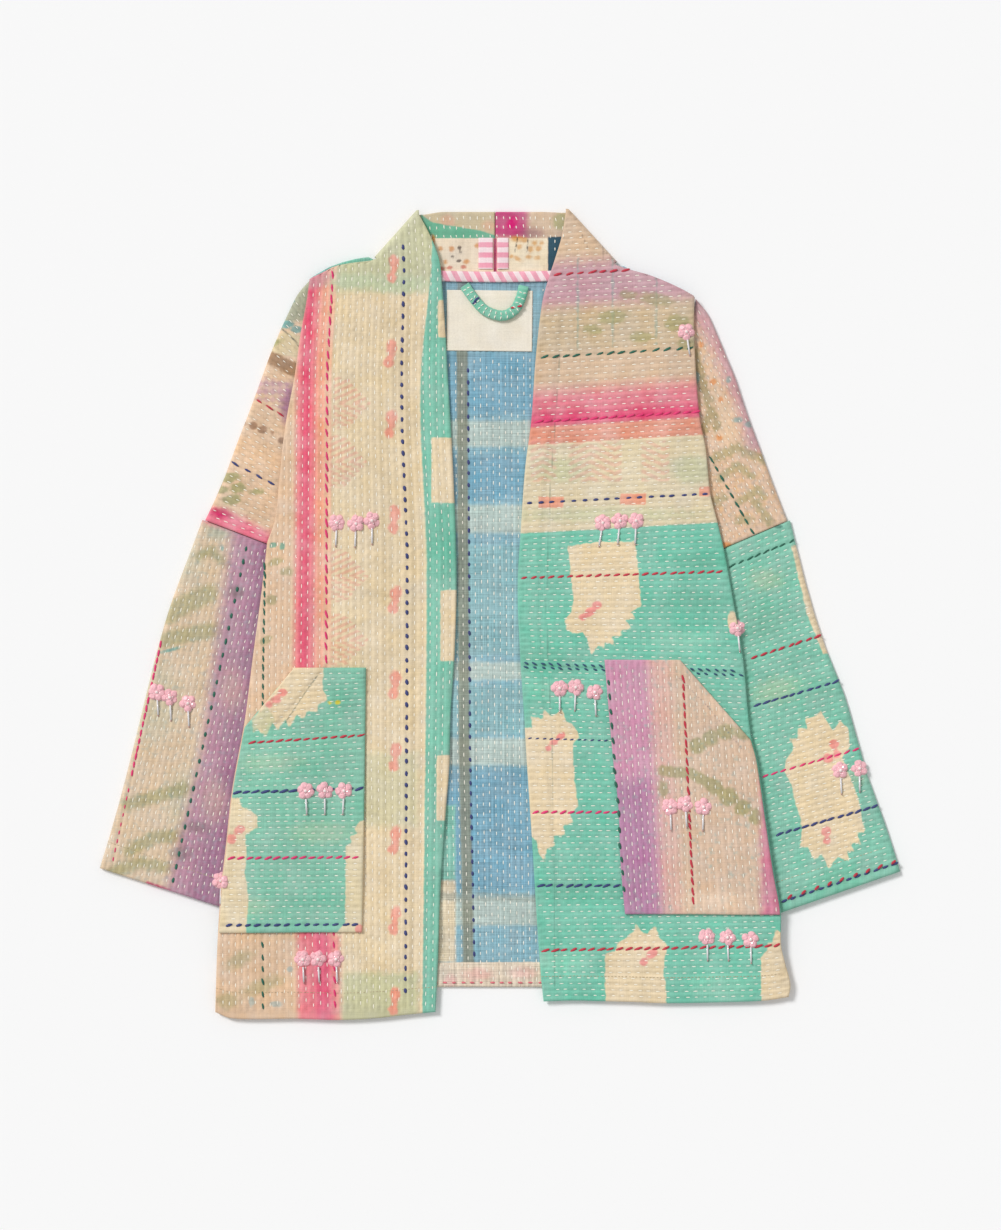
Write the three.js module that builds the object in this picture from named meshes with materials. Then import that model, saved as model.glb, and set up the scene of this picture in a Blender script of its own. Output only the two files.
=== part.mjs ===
// A quilted, open-fronted cotton jacket laid out flat on a table, face up.
// Units are millimetres. +Z is up, the table is z = 0, +Y points to the collar, +X to the wearer's left.
// Both sides of the garment share one set of functions: "out" is the distance from the centre line,
// and a side's sign (-1 right, +1 left) turns it into X.
// Order of the layers from the table up: sleeves, back, fronts with the collar, pockets.

import * as THREE from "three";
import { mergeVertices } from "three/addons/utils/BufferGeometryUtils.js";

// Cloth
const CLOTH = 1.8; // three layers of old sari cotton, quilted together
const SEAM_GAP = 0.4; // between two pieces that are sewn together or lie on each other
const RIB_PITCH = 11.4; // two rows of running stitch make one raised rib here
const RIB_RISE = 0.5;
const WIDE_COLUMN = 27; // spacing of the points along the ribs
const POCKET_GAP = 0.8;
const TURNED_HEM = 0.9; // what a turned and stitched edge adds to the cloth

// Sleeve, as a flattened tube
const SLEEVE_HEIGHT = 4.6;
const SLEEVE_TOP = SLEEVE_HEIGHT + 0.75; // what the body rests on
const CUFF_HEM = 26;

// Pockets
const POCKET_HEM = 20; // along the slanted opening
const OPENING_SLOPE = 0.72; // turns a level distance from the opening into a square one

// Body
const LIFT_RAMP = 80; // how far the body slopes down beside the sleeve under it
const ROW_STEP = 44; // rows of every panel lie at the same multiples of this, so that layers bend together
const BACK_HEM_Y = -342.5;
const BACK_HEM = 22.5;
const FRONT_HEM = 28;
const FRONT_EDGE = 20; // width of the turned front edge
const EDGE_AIR = 0.3; // front lies this far above the back along its seams
const BODY_AIR = 0.9; // and this far in the middle of a panel
const NECK_AIR = 3.4; // and this far where the collar rolls over
const CENTRE_BACK_X = -4.4; // the seam between the collar's halves
const COLLAR_TOP_Y = 370.2;
const COLLAR_ROWS = [1, 0.7, 0.39, 0.36, 0]; // shares of its width, from the neck seam to its edge
const COLLAR_FACING = 0.37; // share that the outer cloth is turned in over

// Right (-1) and left (+1) side. Edges are listed from the hem up.
const SIDES = {
  right: {
    sign: -1,
    frontEdge: [
      { y: -366, out: 59.2 },
      { y: -320, out: 57 },
      { y: -252, out: 54.6 },
      { y: -184, out: 50 },
      { y: -140, out: 46.6 },
      { y: -88, out: 45.2 },
      { y: -43, out: 42 },
      { y: 36, out: 39.8 },
      { y: 128, out: 42.8 },
      { y: 212, out: 47.4 },
      { y: 302, out: 53 },
      { y: 327, out: 56 },
      { y: 349, out: 64.5 },
      { y: 367.4, out: 74.4 },
    ],
    sideEdge: [
      { y: -366, out: 261.6 },
      { y: -308, out: 259.4 },
      { y: -252, out: 256 },
      { y: -213, out: 251.6 },
      { y: -160, out: 245.6 },
      { y: -96, out: 234 },
      { y: -43, out: 227.2 },
      { y: 25, out: 218.2 },
      { y: 66, out: 213.6 },
    ],
    armhole: [
      { y: 66, out: 213.6 },
      { y: 87, out: 206.4 },
      { y: 118, out: 203 },
      { y: 171, out: 197.2 },
      { y: 220, out: 188.2 },
      { y: 254, out: 183.4 },
      { y: 289, out: 177.2 },
      { y: 308, out: 174.6 },
    ],
    shoulder: [
      { y: 308, out: 174.6 },
      { y: 314.5, out: 161 },
      { y: 321, out: 145.6 },
      { y: 325.4, out: 112 },
    ],
    hem: [
      { out: 59, drop: 1 },
      { out: 84, drop: -1.4 },
      { out: 112, drop: -4.6 },
      { out: 146, drop: -6.4 },
      { out: 188, drop: -5.2 },
      { out: 246, drop: -5 },
      { out: 262, drop: 1 },
    ],
    neckSeam: [
      [112, 325.4],
      [100, 319.6],
      [88, 315.4],
      [75, 312.6],
      [60, 311.2],
      [32, 310.4],
      [4.6, 310],
    ],
    backShoulder: [
      [112.4, 324.9],
      [116.6, 328.4],
      [130, 327.2],
      [143.4, 323.8],
      [158, 318.4],
      [173.6, 309],
    ],
    sleeve: {
      cuffY: -290,
      // The body lies at its full lift outside this line, just inside the hidden edge of the sleeve.
      hidden: [
        { y: -276, out: 243 },
        { y: -233, out: 231 },
        { y: -156, out: 205.6 },
        { y: -79, out: 180 },
        { y: -1, out: 153.6 },
        { y: 38, out: 141 },
        { y: 106, out: 146 },
        { y: 200, out: 157 },
        { y: 308, out: 168 },
      ],
      lower: [
        { outer: [367.9, -233], inner: [246.5, -272] },
        { outer: [355, -191], inner: [234.5, -233] },
        { outer: [344.5, -152], inner: [222, -195] },
        { outer: [334.5, -112], inner: [209.5, -156] },
        { outer: [325.5, -75], inner: [197, -118] },
        { outer: [315.5, -35], inner: [184, -79] },
        { outer: [303, 8], inner: [171, -40] },
        { outer: [288.5, 47], inner: [158, -1] },
        { outer: [273.5, 87], inner: [145, 38] },
      ],
      upper: [
        { outer: [271, 86.5], inner: [144.5, 38.25] },
        { outer: [255.5, 120], inner: [145, 50] },
        { outer: [241, 159], inner: [146, 61] },
        { outer: [227.5, 194], inner: [147, 71] },
        { outer: [214.5, 230], inner: [148, 80] },
        { outer: [204.5, 255], inner: [149, 88] },
        { outer: [195, 276], inner: [150, 95] },
        { outer: [186, 294], inner: [151, 101] },
        { outer: [175, 307], inner: [152, 106] },
      ],
      // Quilting runs down the lower sleeve, and across the upper one.
      lowerRibs: "along",
    },
    ribs: "along", // quilting of the front runs from hem to shoulder
    pocket: {
      ribs: "across",
      inner: [
        { y: -291.6, out: 126.4 },
        { y: -170, out: 124.4 },
        { y: -48.6, out: 122.8 },
      ],
      top: { y: -50.4, out: 190 },
      slantEnd: { y: -103.5, out: 232.6 },
      outerInset: 1.2,
    },
    folds: [
      { out: 101, y: 232, turn: 90, length: 190, width: 7, rise: 1.5 },
      { out: 84, y: 176, turn: 84, length: 120, width: 9, rise: 0.9 },
      { out: 128, y: 50, turn: 172, length: 78, width: 6, rise: 1.1 },
      { out: 122, y: 24, turn: 5, length: 92, width: 6, rise: 1.3 },
      { out: 134, y: -4, turn: 176, length: 70, width: 5.5, rise: 0.9 },
      { out: 120, y: -30, turn: 9, length: 84, width: 7, rise: 1.2 },
      { out: 186, y: 34, turn: 48, length: 96, width: 10, rise: 1.5 },
      { out: 168, y: 128, turn: 78, length: 130, width: 13, rise: 1.2 },
      { out: 92, y: -316, turn: 86, length: 96, width: 12, rise: 1.4 },
      { out: 178, y: -330, turn: 97, length: 70, width: 15, rise: 1.1 },
    ],
    sleeveFolds: [
      { out: 262, y: 12, turn: 20, length: 80, width: 8, rise: 1.4 },
      { out: 282, y: -58, turn: 14, length: 74, width: 10, rise: 1.1 },
      { out: 318, y: -150, turn: 62, length: 120, width: 13, rise: 1.3 },
      { out: 222, y: 160, turn: 66, length: 110, width: 9, rise: 1.2 },
      { out: 236, y: 104, turn: 24, length: 60, width: 8, rise: 1 },
    ],
  },
  left: {
    sign: 1,
    frontEdge: [
      { y: -355.4, out: 40 },
      { y: -335, out: 37.8 },
      { y: -291, out: 34.5 },
      { y: -202, out: 29 },
      { y: -139, out: 24.8 },
      { y: -92, out: 22 },
      { y: -36, out: 18.3 },
      { y: 27, out: 16.2 },
      { y: 83, out: 19.4 },
      { y: 136, out: 23.2 },
      { y: 177, out: 28.6 },
      { y: 236, out: 32.8 },
      { y: 287, out: 38.8 },
      { y: 306, out: 43.8 },
      { y: 330, out: 51.6 },
      { y: 347, out: 56.6 },
      { y: 369.4, out: 60.4 },
    ],
    sideEdge: [
      { y: -355.4, out: 264 },
      { y: -340, out: 266.6 },
      { y: -320, out: 261.6 },
      { y: -302, out: 257.6 },
      { y: -271, out: 257.4 },
      { y: -238, out: 251.6 },
      { y: -186, out: 243.8 },
      { y: -134, out: 236 },
      { y: -108, out: 229.6 },
      { y: -41, out: 223 },
      { y: 14, out: 213.8 },
      { y: 60, out: 205.4 },
    ],
    armhole: [
      { y: 60, out: 205.4 },
      { y: 86, out: 199.2 },
      { y: 111, out: 193 },
      { y: 153, out: 188.6 },
      { y: 178, out: 183.6 },
      { y: 212, out: 180.4 },
      { y: 263, out: 178 },
      { y: 292, out: 178.6 },
    ],
    shoulder: [
      { y: 292, out: 178.6 },
      { y: 299.4, out: 165 },
      { y: 306.4, out: 150 },
      { y: 312, out: 135.6 },
      { y: 316, out: 121 },
      { y: 321.4, out: 104.4 },
    ],
    hem: [
      { out: 40, drop: 0 },
      { out: 66, drop: 0.9 },
      { out: 88, drop: 0.4 },
      { out: 120, drop: -0.4 },
      { out: 152, drop: -1.6 },
      { out: 200, drop: -0.8 },
      { out: 242, drop: 0.8 },
      { out: 266, drop: 4.4 },
    ],
    neckSeam: [
      [104.4, 321.4],
      [94, 317],
      [82, 313.4],
      [68, 311.6],
      [52, 310.8],
      [24, 310.3],
      [-4.2, 310],
    ],
    backShoulder: [
      [104.8, 320.8],
      [109.4, 322.6],
      [122, 314.6],
      [137, 310],
      [152, 304.6],
      [176, 292],
    ],
    sleeve: {
      cuffY: -294,
      hidden: [
        { y: -281, out: 246 },
        { y: -239, out: 233.4 },
        { y: -161, out: 206.6 },
        { y: -83, out: 179.6 },
        { y: -5, out: 152.6 },
        { y: 34, out: 139 },
        { y: 103, out: 144.4 },
        { y: 200, out: 157 },
        { y: 292, out: 169 },
      ],
      lower: [
        { outer: [367.9, -236], inner: [249.5, -277] },
        { outer: [354, -193], inner: [237, -239] },
        { outer: [339, -152], inner: [224, -200] },
        { outer: [327.5, -112], inner: [210.5, -161] },
        { outer: [316, -73], inner: [197, -122] },
        { outer: [300, -33], inner: [183.5, -83] },
        { outer: [286.5, 8], inner: [170, -44] },
        { outer: [276, 47], inner: [156.5, -5] },
        { outer: [266.5, 86.5], inner: [143, 33.5] },
      ],
      upper: [
        { outer: [264, 85.9], inner: [142.5, 33.75] },
        { outer: [251.5, 118], inner: [143.5, 46] },
        { outer: [239, 152], inner: [144.5, 57] },
        { outer: [227.5, 183], inner: [145.5, 67] },
        { outer: [216.5, 216], inner: [147, 76] },
        { outer: [207.5, 238], inner: [148, 84] },
        { outer: [200, 256], inner: [149, 91] },
        { outer: [191, 276], inner: [150, 97] },
        { outer: [180, 290], inner: [151, 103] },
      ],
      lowerRibs: "across",
    },
    ribs: "across",
    pocket: {
      ribs: "along",
      inner: [
        { y: -275, out: 114.6 },
        { y: -225, out: 110.4 },
        { y: -179, out: 108.8 },
        { y: -130, out: 103.4 },
        { y: -41.4, out: 95.8 },
      ],
      top: { y: -40.2, out: 163.8 },
      slantEnd: { y: -115, out: 229.4 },
      outerInset: 1.2,
    },
    folds: [
      { out: 84, y: 318, turn: 104, length: 60, width: 6, rise: 1.3 },
      { out: 104, y: 208, turn: 96, length: 150, width: 12, rise: 1.3 },
      { out: 152, y: 236, turn: 70, length: 110, width: 11, rise: 1.1 },
      { out: 150, y: 140, turn: 84, length: 120, width: 12, rise: 1.2 },
      { out: 168, y: 30, turn: 118, length: 110, width: 10, rise: 1.6 },
      { out: 70, y: 8, turn: 88, length: 170, width: 12, rise: 1.2 },
      { out: 128, y: 6, turn: 94, length: 90, width: 9, rise: 0.9 },
      { out: 66, y: -170, turn: 93, length: 150, width: 11, rise: 1.2 },
      { out: 86, y: -318, turn: 88, length: 80, width: 13, rise: 1.5 },
      { out: 160, y: -322, turn: 95, length: 74, width: 16, rise: 1.2 },
      { out: 232, y: -322, turn: 82, length: 66, width: 12, rise: 1.3 },
    ],
    sleeveFolds: [
      { out: 246, y: 22, turn: 156, length: 74, width: 8, rise: 1.3 },
      { out: 276, y: -66, turn: 118, length: 130, width: 12, rise: 1.4 },
      { out: 318, y: -170, turn: 122, length: 110, width: 14, rise: 1.2 },
      { out: 216, y: 150, turn: 108, length: 120, width: 10, rise: 1.2 },
      { out: 238, y: 108, turn: 150, length: 52, width: 8, rise: 1 },
    ],
  },
};

const LABEL = { x: -9.6, y: 270, width: 79, height: 56, thick: 0.5, turn: -0.6 };
const BINDING = { left: 57, right: -63.5, y: 311.4, sag: 1.2, width: 9.8, height: 2.5 };
const SEAM_BINDINGS = [
  { name: "seam_binding_right", x: -13.1, width: 13.4, thick: 0.9 },
  { name: "seam_binding_left", x: 2.7, width: 10.4, thick: 0.9 },
];
const SEAM_BINDING_ENDS = { low: 317.6, high: 346.2 };
const LOOP = {
  width: 9.8,
  height: 4.4,
  endHeight: 2,
  sides: 8,
  endRun: 0.14, // share of the loop's length in which it flattens to its sewn ends
  route: [
    [-32.6, 302.4],
    [-24.4, 290.6],
    [-13.2, 279],
    [2, 274.4],
    [13.2, 279.6],
    [19.2, 291],
    [21.8, 302],
  ],
};

const COLOURS = {
  cream: 0xe6cfa9,
  teal: 0x7cc3ab,
  peach: 0xdcbb9c,
  mauve: 0xb78aa2,
  blue: 0x86b4c4,
  pink: 0xf0b9c4,
  label: 0xf1e7d6,
};

const clamp01 = (t) => Math.min(1, Math.max(0, t));
const ease = (t) => clamp01(t) ** 2 * (3 - 2 * clamp01(t));
const mix = (a, b, t) => a + (b - a) * t;
const mixPoint = (p, q, t) => [mix(p[0], q[0], t), mix(p[1], q[1], t)];

// A smooth function through the rows of a table, from column `from` to column `to`.
function smoothTable(rows, from, to) {
  const slope = rows.map((row, i) => {
    const before = rows[Math.max(0, i - 1)];
    const after = rows[Math.min(rows.length - 1, i + 1)];
    return (after[to] - before[to]) / (after[from] - before[from]);
  });
  return (value) => {
    const last = rows.length - 2;
    let i = rows.findIndex((row) => value < row[from]) - 1;
    if (i < 0) i = value < rows[0][from] ? 0 : last;
    const run = rows[i + 1][from] - rows[i][from];
    const t = clamp01((value - rows[i][from]) / run);
    const rise = rows[i + 1][to] - rows[i][to];
    const bend = (slope[i] * run - rise) * (1 - t) - (slope[i + 1] * run - rise) * t;
    return rows[i][to] + rise * t + t * (1 - t) * bend;
  };
}

// A smooth line through plan points, as a function of t from 0 to 1.
function smoothLine(points) {
  const curve = new THREE.SplineCurve(points.map(([x, y]) => new THREE.Vector2(x, y)));
  return (t) => curve.getPoint(clamp01(t)).toArray();
}

// Values from `low` to `high` in equal steps no longer than `step`.
function spread(low, high, step) {
  const count = Math.max(1, Math.ceil(Math.abs(high - low) / step - 1e-6));
  return Array.from({ length: count + 1 }, (_, i) => mix(low, high, i / count));
}

// Values from `low` to `high` that take in every multiple of `step` between them.
function multiples(low, high, step) {
  const inner = [];
  const edge = 0.2 * step;
  for (let y = Math.ceil((low + edge) / step) * step; y < high - edge; y += step) inner.push(y);
  return [low, ...inner, high];
}

// Soft ridges in the cloth: each is a rounded crest along a short line.
function foldsAt(folds, out, y) {
  return folds.reduce((sum, fold) => {
    const turn = THREE.MathUtils.degToRad(fold.turn);
    const [dx, dy] = [out - fold.out, y - fold.y];
    const along = (dx * Math.cos(turn) + dy * Math.sin(turn)) / (fold.length / 2);
    const across = (dy * Math.cos(turn) - dx * Math.sin(turn)) / fold.width;
    return sum + fold.rise * Math.exp(-across * across) * ease(1 - Math.abs(along));
  }, 0);
}

// Collects the faces of one closed solid. On the right side of the garment every face is turned round.
class Solid {
  constructor(mirrored) {
    this.mirrored = mirrored;
    this.corners = [];
  }

  triangle(a, b, c) {
    const same = (p, q) => Math.hypot(p[0] - q[0], p[1] - q[1], p[2] - q[2]) < 1e-6;
    if (same(a, b) || same(b, c) || same(c, a)) return;
    this.corners.push(...(this.mirrored ? [a, c, b] : [a, b, c]));
  }

  // A face from a table of points, rows by columns.
  // Its outer side is up where columns run to +X and rows to +Y.
  face(rows, turned = false) {
    for (let j = 0; j + 1 < rows.length; j++) {
      for (let i = 0; i + 1 < rows[j].length; i++) {
        const quad = [rows[j][i], rows[j][i + 1], rows[j + 1][i + 1], rows[j + 1][i]];
        if (turned) quad.reverse();
        this.triangle(quad[0], quad[1], quad[2]);
        this.triangle(quad[0], quad[2], quad[3]);
      }
    }
  }

  // A wall between the inner and the outer line of an edge, which may have different numbers of points.
  wall(inner, outer) {
    const lengths = (line) => {
      const sums = [0];
      for (let i = 1; i < line.length; i++) {
        const [p, q] = [line[i - 1], line[i]];
        sums.push(sums[i - 1] + Math.hypot(q[0] - p[0], q[1] - p[1], q[2] - p[2]));
      }
      return sums.map((sum) => sum / sums[sums.length - 1]);
    };
    const [atInner, atOuter] = [lengths(inner), lengths(outer)];
    let [i, o] = [0, 0];
    while (i + 1 < inner.length || o + 1 < outer.length) {
      const nextInner = i + 1 < inner.length ? atInner[i + 1] : Infinity;
      const nextOuter = o + 1 < outer.length ? atOuter[o + 1] : Infinity;
      if (nextInner <= nextOuter) {
        this.triangle(inner[i], inner[i + 1], outer[o]);
        i += 1;
      } else {
        this.triangle(inner[i], outer[o + 1], outer[o]);
        o += 1;
      }
    }
  }

  geometry() {
    const position = new THREE.Float32BufferAttribute(this.corners.flat(), 3);
    const bare = new THREE.BufferGeometry().setAttribute("position", position);
    const merged = mergeVertices(bare, 1e-4);
    merged.computeVertexNormals();
    return merged;
  }
}

const column = (rows, i) => rows.map((row) => row[i]);
const lastOf = (row) => row[row.length - 1];
const meshes = [];

function addMesh(name, geometry, colour, roughness = 0.9) {
  const material = new THREE.MeshStandardMaterial({ color: colour, roughness, metalness: 0 });
  const mesh = new THREE.Mesh(geometry, material);
  mesh.name = name;
  meshes.push(mesh);
  return mesh;
}

// Everything about one side of the garment that more than one piece needs: its edges and its heights.
function sideOf(data) {
  const frontEdge = smoothTable(data.frontEdge, "y", "out");
  const sideEdge = smoothTable(data.sideEdge, "y", "out");
  const armhole = smoothTable(data.armhole, "y", "out");
  const shoulder = smoothTable(data.shoulder, "y", "out");
  const hidden = smoothTable(data.sleeve.hidden, "y", "out");
  const hemDrop = smoothTable(data.hem, "out", "drop");
  const underarmY = data.armhole[0].y;
  const tip = lastOf(data.armhole);
  const neck = lastOf(data.shoulder);
  const corner = lastOf(data.frontEdge);
  const hemY = data.frontEdge[0].y;
  const place = (out, y, z) => [data.sign * out, y, z];

  // The front's outer edge: side, armhole, shoulder, and then the line where the collar rolls over.
  const outerEdge = (y) => {
    if (y <= underarmY) return sideEdge(y);
    if (y <= tip.y) return armhole(y);
    if (y <= neck.y) return shoulder(y);
    return mix(neck.out, corner.out, (y - neck.y) / (corner.y - neck.y));
  };
  // How far the sleeve underneath lifts the body.
  const lift = (out, y) => {
    const beside = ease(1 + (out - hidden(y)) / LIFT_RAMP);
    const above = ease(1 + (y - data.sleeve.cuffY) / LIFT_RAMP);
    return SLEEVE_TOP * beside * above;
  };
  const backTop = (out, y) => {
    const turned = ease((BACK_HEM_Y + BACK_HEM + 0.6 - y) / 1.2);
    return lift(out, y) + CLOTH + TURNED_HEM * turned;
  };
  // The front clears the back's turned hem, and has some air over it away from its seams.
  const air = (out, y) => {
    const inward = ease((outerEdge(y) - out) / 34) * ease((y - hemY) / 24);
    const fromFront = ease((out - frontEdge(y)) / 26);
    const overHem = TURNED_HEM * ease((BACK_HEM_Y + BACK_HEM + 60 - y) / 30);
    const atNeck = NECK_AIR * ease((y - 236) / 62) * ease((neck.out + 44 - out) / 46);
    return EDGE_AIR + BODY_AIR * inward * fromFront + overHem + atNeck;
  };
  const fold = (out, y) => {
    const window = ease((outerEdge(y) - out) / 16) * ease((y - hemY + 6) / 20);
    const overShoulder = y > tip.y ? ease((neck.out + 34 - out) / 40) : 1;
    return foldsAt(data.folds, out, y) * window * overShoulder;
  };
  // The front's two faces, without the quilting of the outer one.
  const frontUnder = (out, y) => (
    lift(out, y) + CLOTH + SEAM_GAP + air(out, y) + fold(out, y) / 2
  );
  const frontTop = (out, y) => {
    const turnedEdge = ease((frontEdge(y) + FRONT_EDGE + 2 - out) / 4) * ease((neck.y - 20 - y) / 30);
    const turnedHem = ease((hemY + FRONT_HEM + 2 - y) / 4);
    const turned = TURNED_HEM * Math.max(turnedEdge, turnedHem);
    return frontUnder(out, y) + fold(out, y) / 2 + CLOTH + turned;
  };
  // Rows of the fronts follow the hem's own line at the bottom and are level above it.
  const rowY = (out, y) => y + hemDrop(out) * ease(1 - (y - hemY) / 70);
  return {
    data, place, frontEdge, outerEdge, hemY, tip, neck, corner, lift, backTop, frontUnder, frontTop, rowY,
  };
}

// A front, with the half of the collar that is cut in one with it.
function front(side, name, colour) {
  const { data, place, frontEdge, outerEdge, hemY, tip, neck, corner, frontUnder, frontTop, rowY } = side;
  const solid = new Solid(data.sign < 0);
  const rib = RIB_PITCH / 2;
  const ribsAlong = data.ribs === "along";
  const [rollRun, rollRise] = [neck.out - corner.out, corner.y - neck.y];
  const rollLength = Math.hypot(rollRun, rollRise);
  const rollNormal = [rollRise / rollLength, rollRun / rollLength];
  const seamEnd = lastOf(data.neckSeam);

  // Columns at a steady spacing from the front edge. Those that would pass the outer edge end on it.
  function panelRow(y, columnStep, count, height, rise) {
    const low = frontEdge(y);
    const high = Math.max(low, outerEdge(y));
    return Array.from({ length: count + 1 }, (_, i) => {
      const reach = i * columnStep;
      const inside = i < count && reach < high - low - 0.4 * columnStep;
      const out = inside ? low + reach : high;
      const raised = inside && i > 0 ? rise(i) : 0;
      return place(out, rowY(out, y), height(out, y) + raised);
    });
  }

  // The collar, from the roll line over the bend and flat on the table to the centre back seam.
  // `depth` is the distance below the outer face, which lies on the table here.
  function collarRow(share, depth) {
    const y = mix(corner.y, neck.y, share);
    const out = outerEdge(y);
    const radius = frontTop(out, y) / 2;
    const row = [90, 60, 25, -10, -50, -90].map((bend) => {
      const angle = THREE.MathUtils.degToRad(bend);
      const reach = (radius - depth) * Math.cos(angle);
      const height = radius + (radius - depth) * Math.sin(angle);
      return place(out + rollNormal[0] * reach, y + rollNormal[1] * reach, height);
    });
    const turned = depth && share < COLLAR_FACING ? TURNED_HEM : 0;
    for (const seamPoint of data.neckSeam.slice(1)) {
      const reach = (neck.out - seamPoint[0]) / (neck.out - seamEnd[0]);
      const topX = mix(corner.out, seamEnd[0], reach);
      const topY = mix(corner.y, COLLAR_TOP_Y, ease(3 * reach));
      row.push(place(...mixPoint([topX, topY], seamPoint, share), depth + turned));
    }
    return row;
  }

  const hemTop = hemY + FRONT_HEM;
  const collarLevels = COLLAR_ROWS.map((share) => mix(corner.y, neck.y, share));
  const build = (rowsOf, rowStep, columnStep, height, depth, rise) => {
    const levels = [
      ...rowsOf(hemY, hemTop, rowStep),
      ...rowsOf(hemTop + 2, tip.y, rowStep).slice(0, -1),
      ...rowsOf(tip.y, neck.y, rowStep).slice(0, -1),
    ];
    const rows = [...levels, ...collarLevels];
    const widest = Math.max(...rows.map((y) => outerEdge(y) - frontEdge(y)));
    const count = Math.ceil(widest / columnStep);
    const panel = rows.map((y, j) => {
      const onPanel = j > 0 && j < levels.length;
      return panelRow(y, columnStep, count, height, (i) => (onPanel ? rise(i, j) : 0));
    });
    return { panel, collar: COLLAR_ROWS.map((share) => collarRow(share, depth)), neckRow: levels.length };
  };

  const crest = ribsAlong ? (i) => (i % 2) * RIB_RISE : (i, j) => (j % 2) * RIB_RISE;
  const finest = ribsAlong ? [multiples, ROW_STEP, rib] : [spread, rib, WIDE_COLUMN];
  const outer = build(...finest, frontTop, 0, crest);
  const inner = build(multiples, ROW_STEP, ribsAlong ? 4 * rib : WIDE_COLUMN, frontUnder, CLOTH, () => 0);
  solid.face(outer.panel);
  solid.face(outer.collar);
  solid.face(inner.panel, true);
  solid.face(inner.collar, true);
  const edges = ({ panel, collar, neckRow }) => [
    panel[0],
    panel.slice(0, neckRow + 1).map(lastOf),
    collar[0],
    column(collar, collar[0].length - 1),
    [...lastOf(collar)].reverse(),
    column(panel, 0).reverse(),
  ];
  const outerEdges = edges(outer);
  edges(inner).forEach((line, i) => solid.wall(line, outerEdges[i]));
  addMesh(name, solid.geometry(), colour);
}

// The back, with both sides in one piece. It is flat on the table between the sleeves.
function back(right, left) {
  const solid = new Solid(false);
  const inset = 1.4; // its edges lie just inside the fronts' edges
  // Its top edge: one shoulder, the neckline just below the collar's seam, the other shoulder.
  const half = (side) => [
    ...side.data.neckSeam.slice(1).reverse().map(([out, y]) => [side.data.sign * out, y - SEAM_GAP]),
    ...side.data.backShoulder.map(([out, y]) => [side.data.sign * out, y]),
  ];
  const top = [...half(right).reverse(), ...half(left)];
  const shoulderY = Math.min(right.tip.y, left.tip.y) - 4;
  const sideAt = (x) => (x < 0 ? right : left);
  const heightAt = (x, y) => sideAt(x).backTop(Math.abs(x), y);
  const liftAt = (x, y) => sideAt(x).lift(Math.abs(x), y);
  const columnX = (i, y) => {
    const [low, high] = [-right.outerEdge(y) + inset, left.outerEdge(y) - inset];
    return mix(low, high, i / (top.length - 1));
  };
  const hemTop = BACK_HEM_Y + BACK_HEM;
  const rows = [BACK_HEM_Y, hemTop, hemTop + 1.2, ...multiples(hemTop + 10.8, shoulderY, ROW_STEP)].map(
    (y) => top.map((_, i) => [columnX(i, y), y]),
  );
  for (const share of [0.5, 1]) {
    rows.push(top.map(([x, y], i) => [mix(columnX(i, shoulderY), x, share), mix(shoulderY, y, share)]));
  }
  const faceAt = (height) => rows.map((row) => row.map(([x, y]) => [x, y, height(x, y)]));
  const [upper, lower] = [faceAt(heightAt), faceAt(liftAt)];
  solid.face(upper);
  solid.face(lower, true);
  const loop = (face) => [
    face[0], face.map(lastOf), [...lastOf(face)].reverse(), column(face, 0).reverse(),
  ];
  const upperLoop = loop(upper);
  loop(lower).forEach((line, i) => solid.wall(line, upperLoop[i]));
  addMesh("back", solid.geometry(), COLOURS.blue);
}

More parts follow.
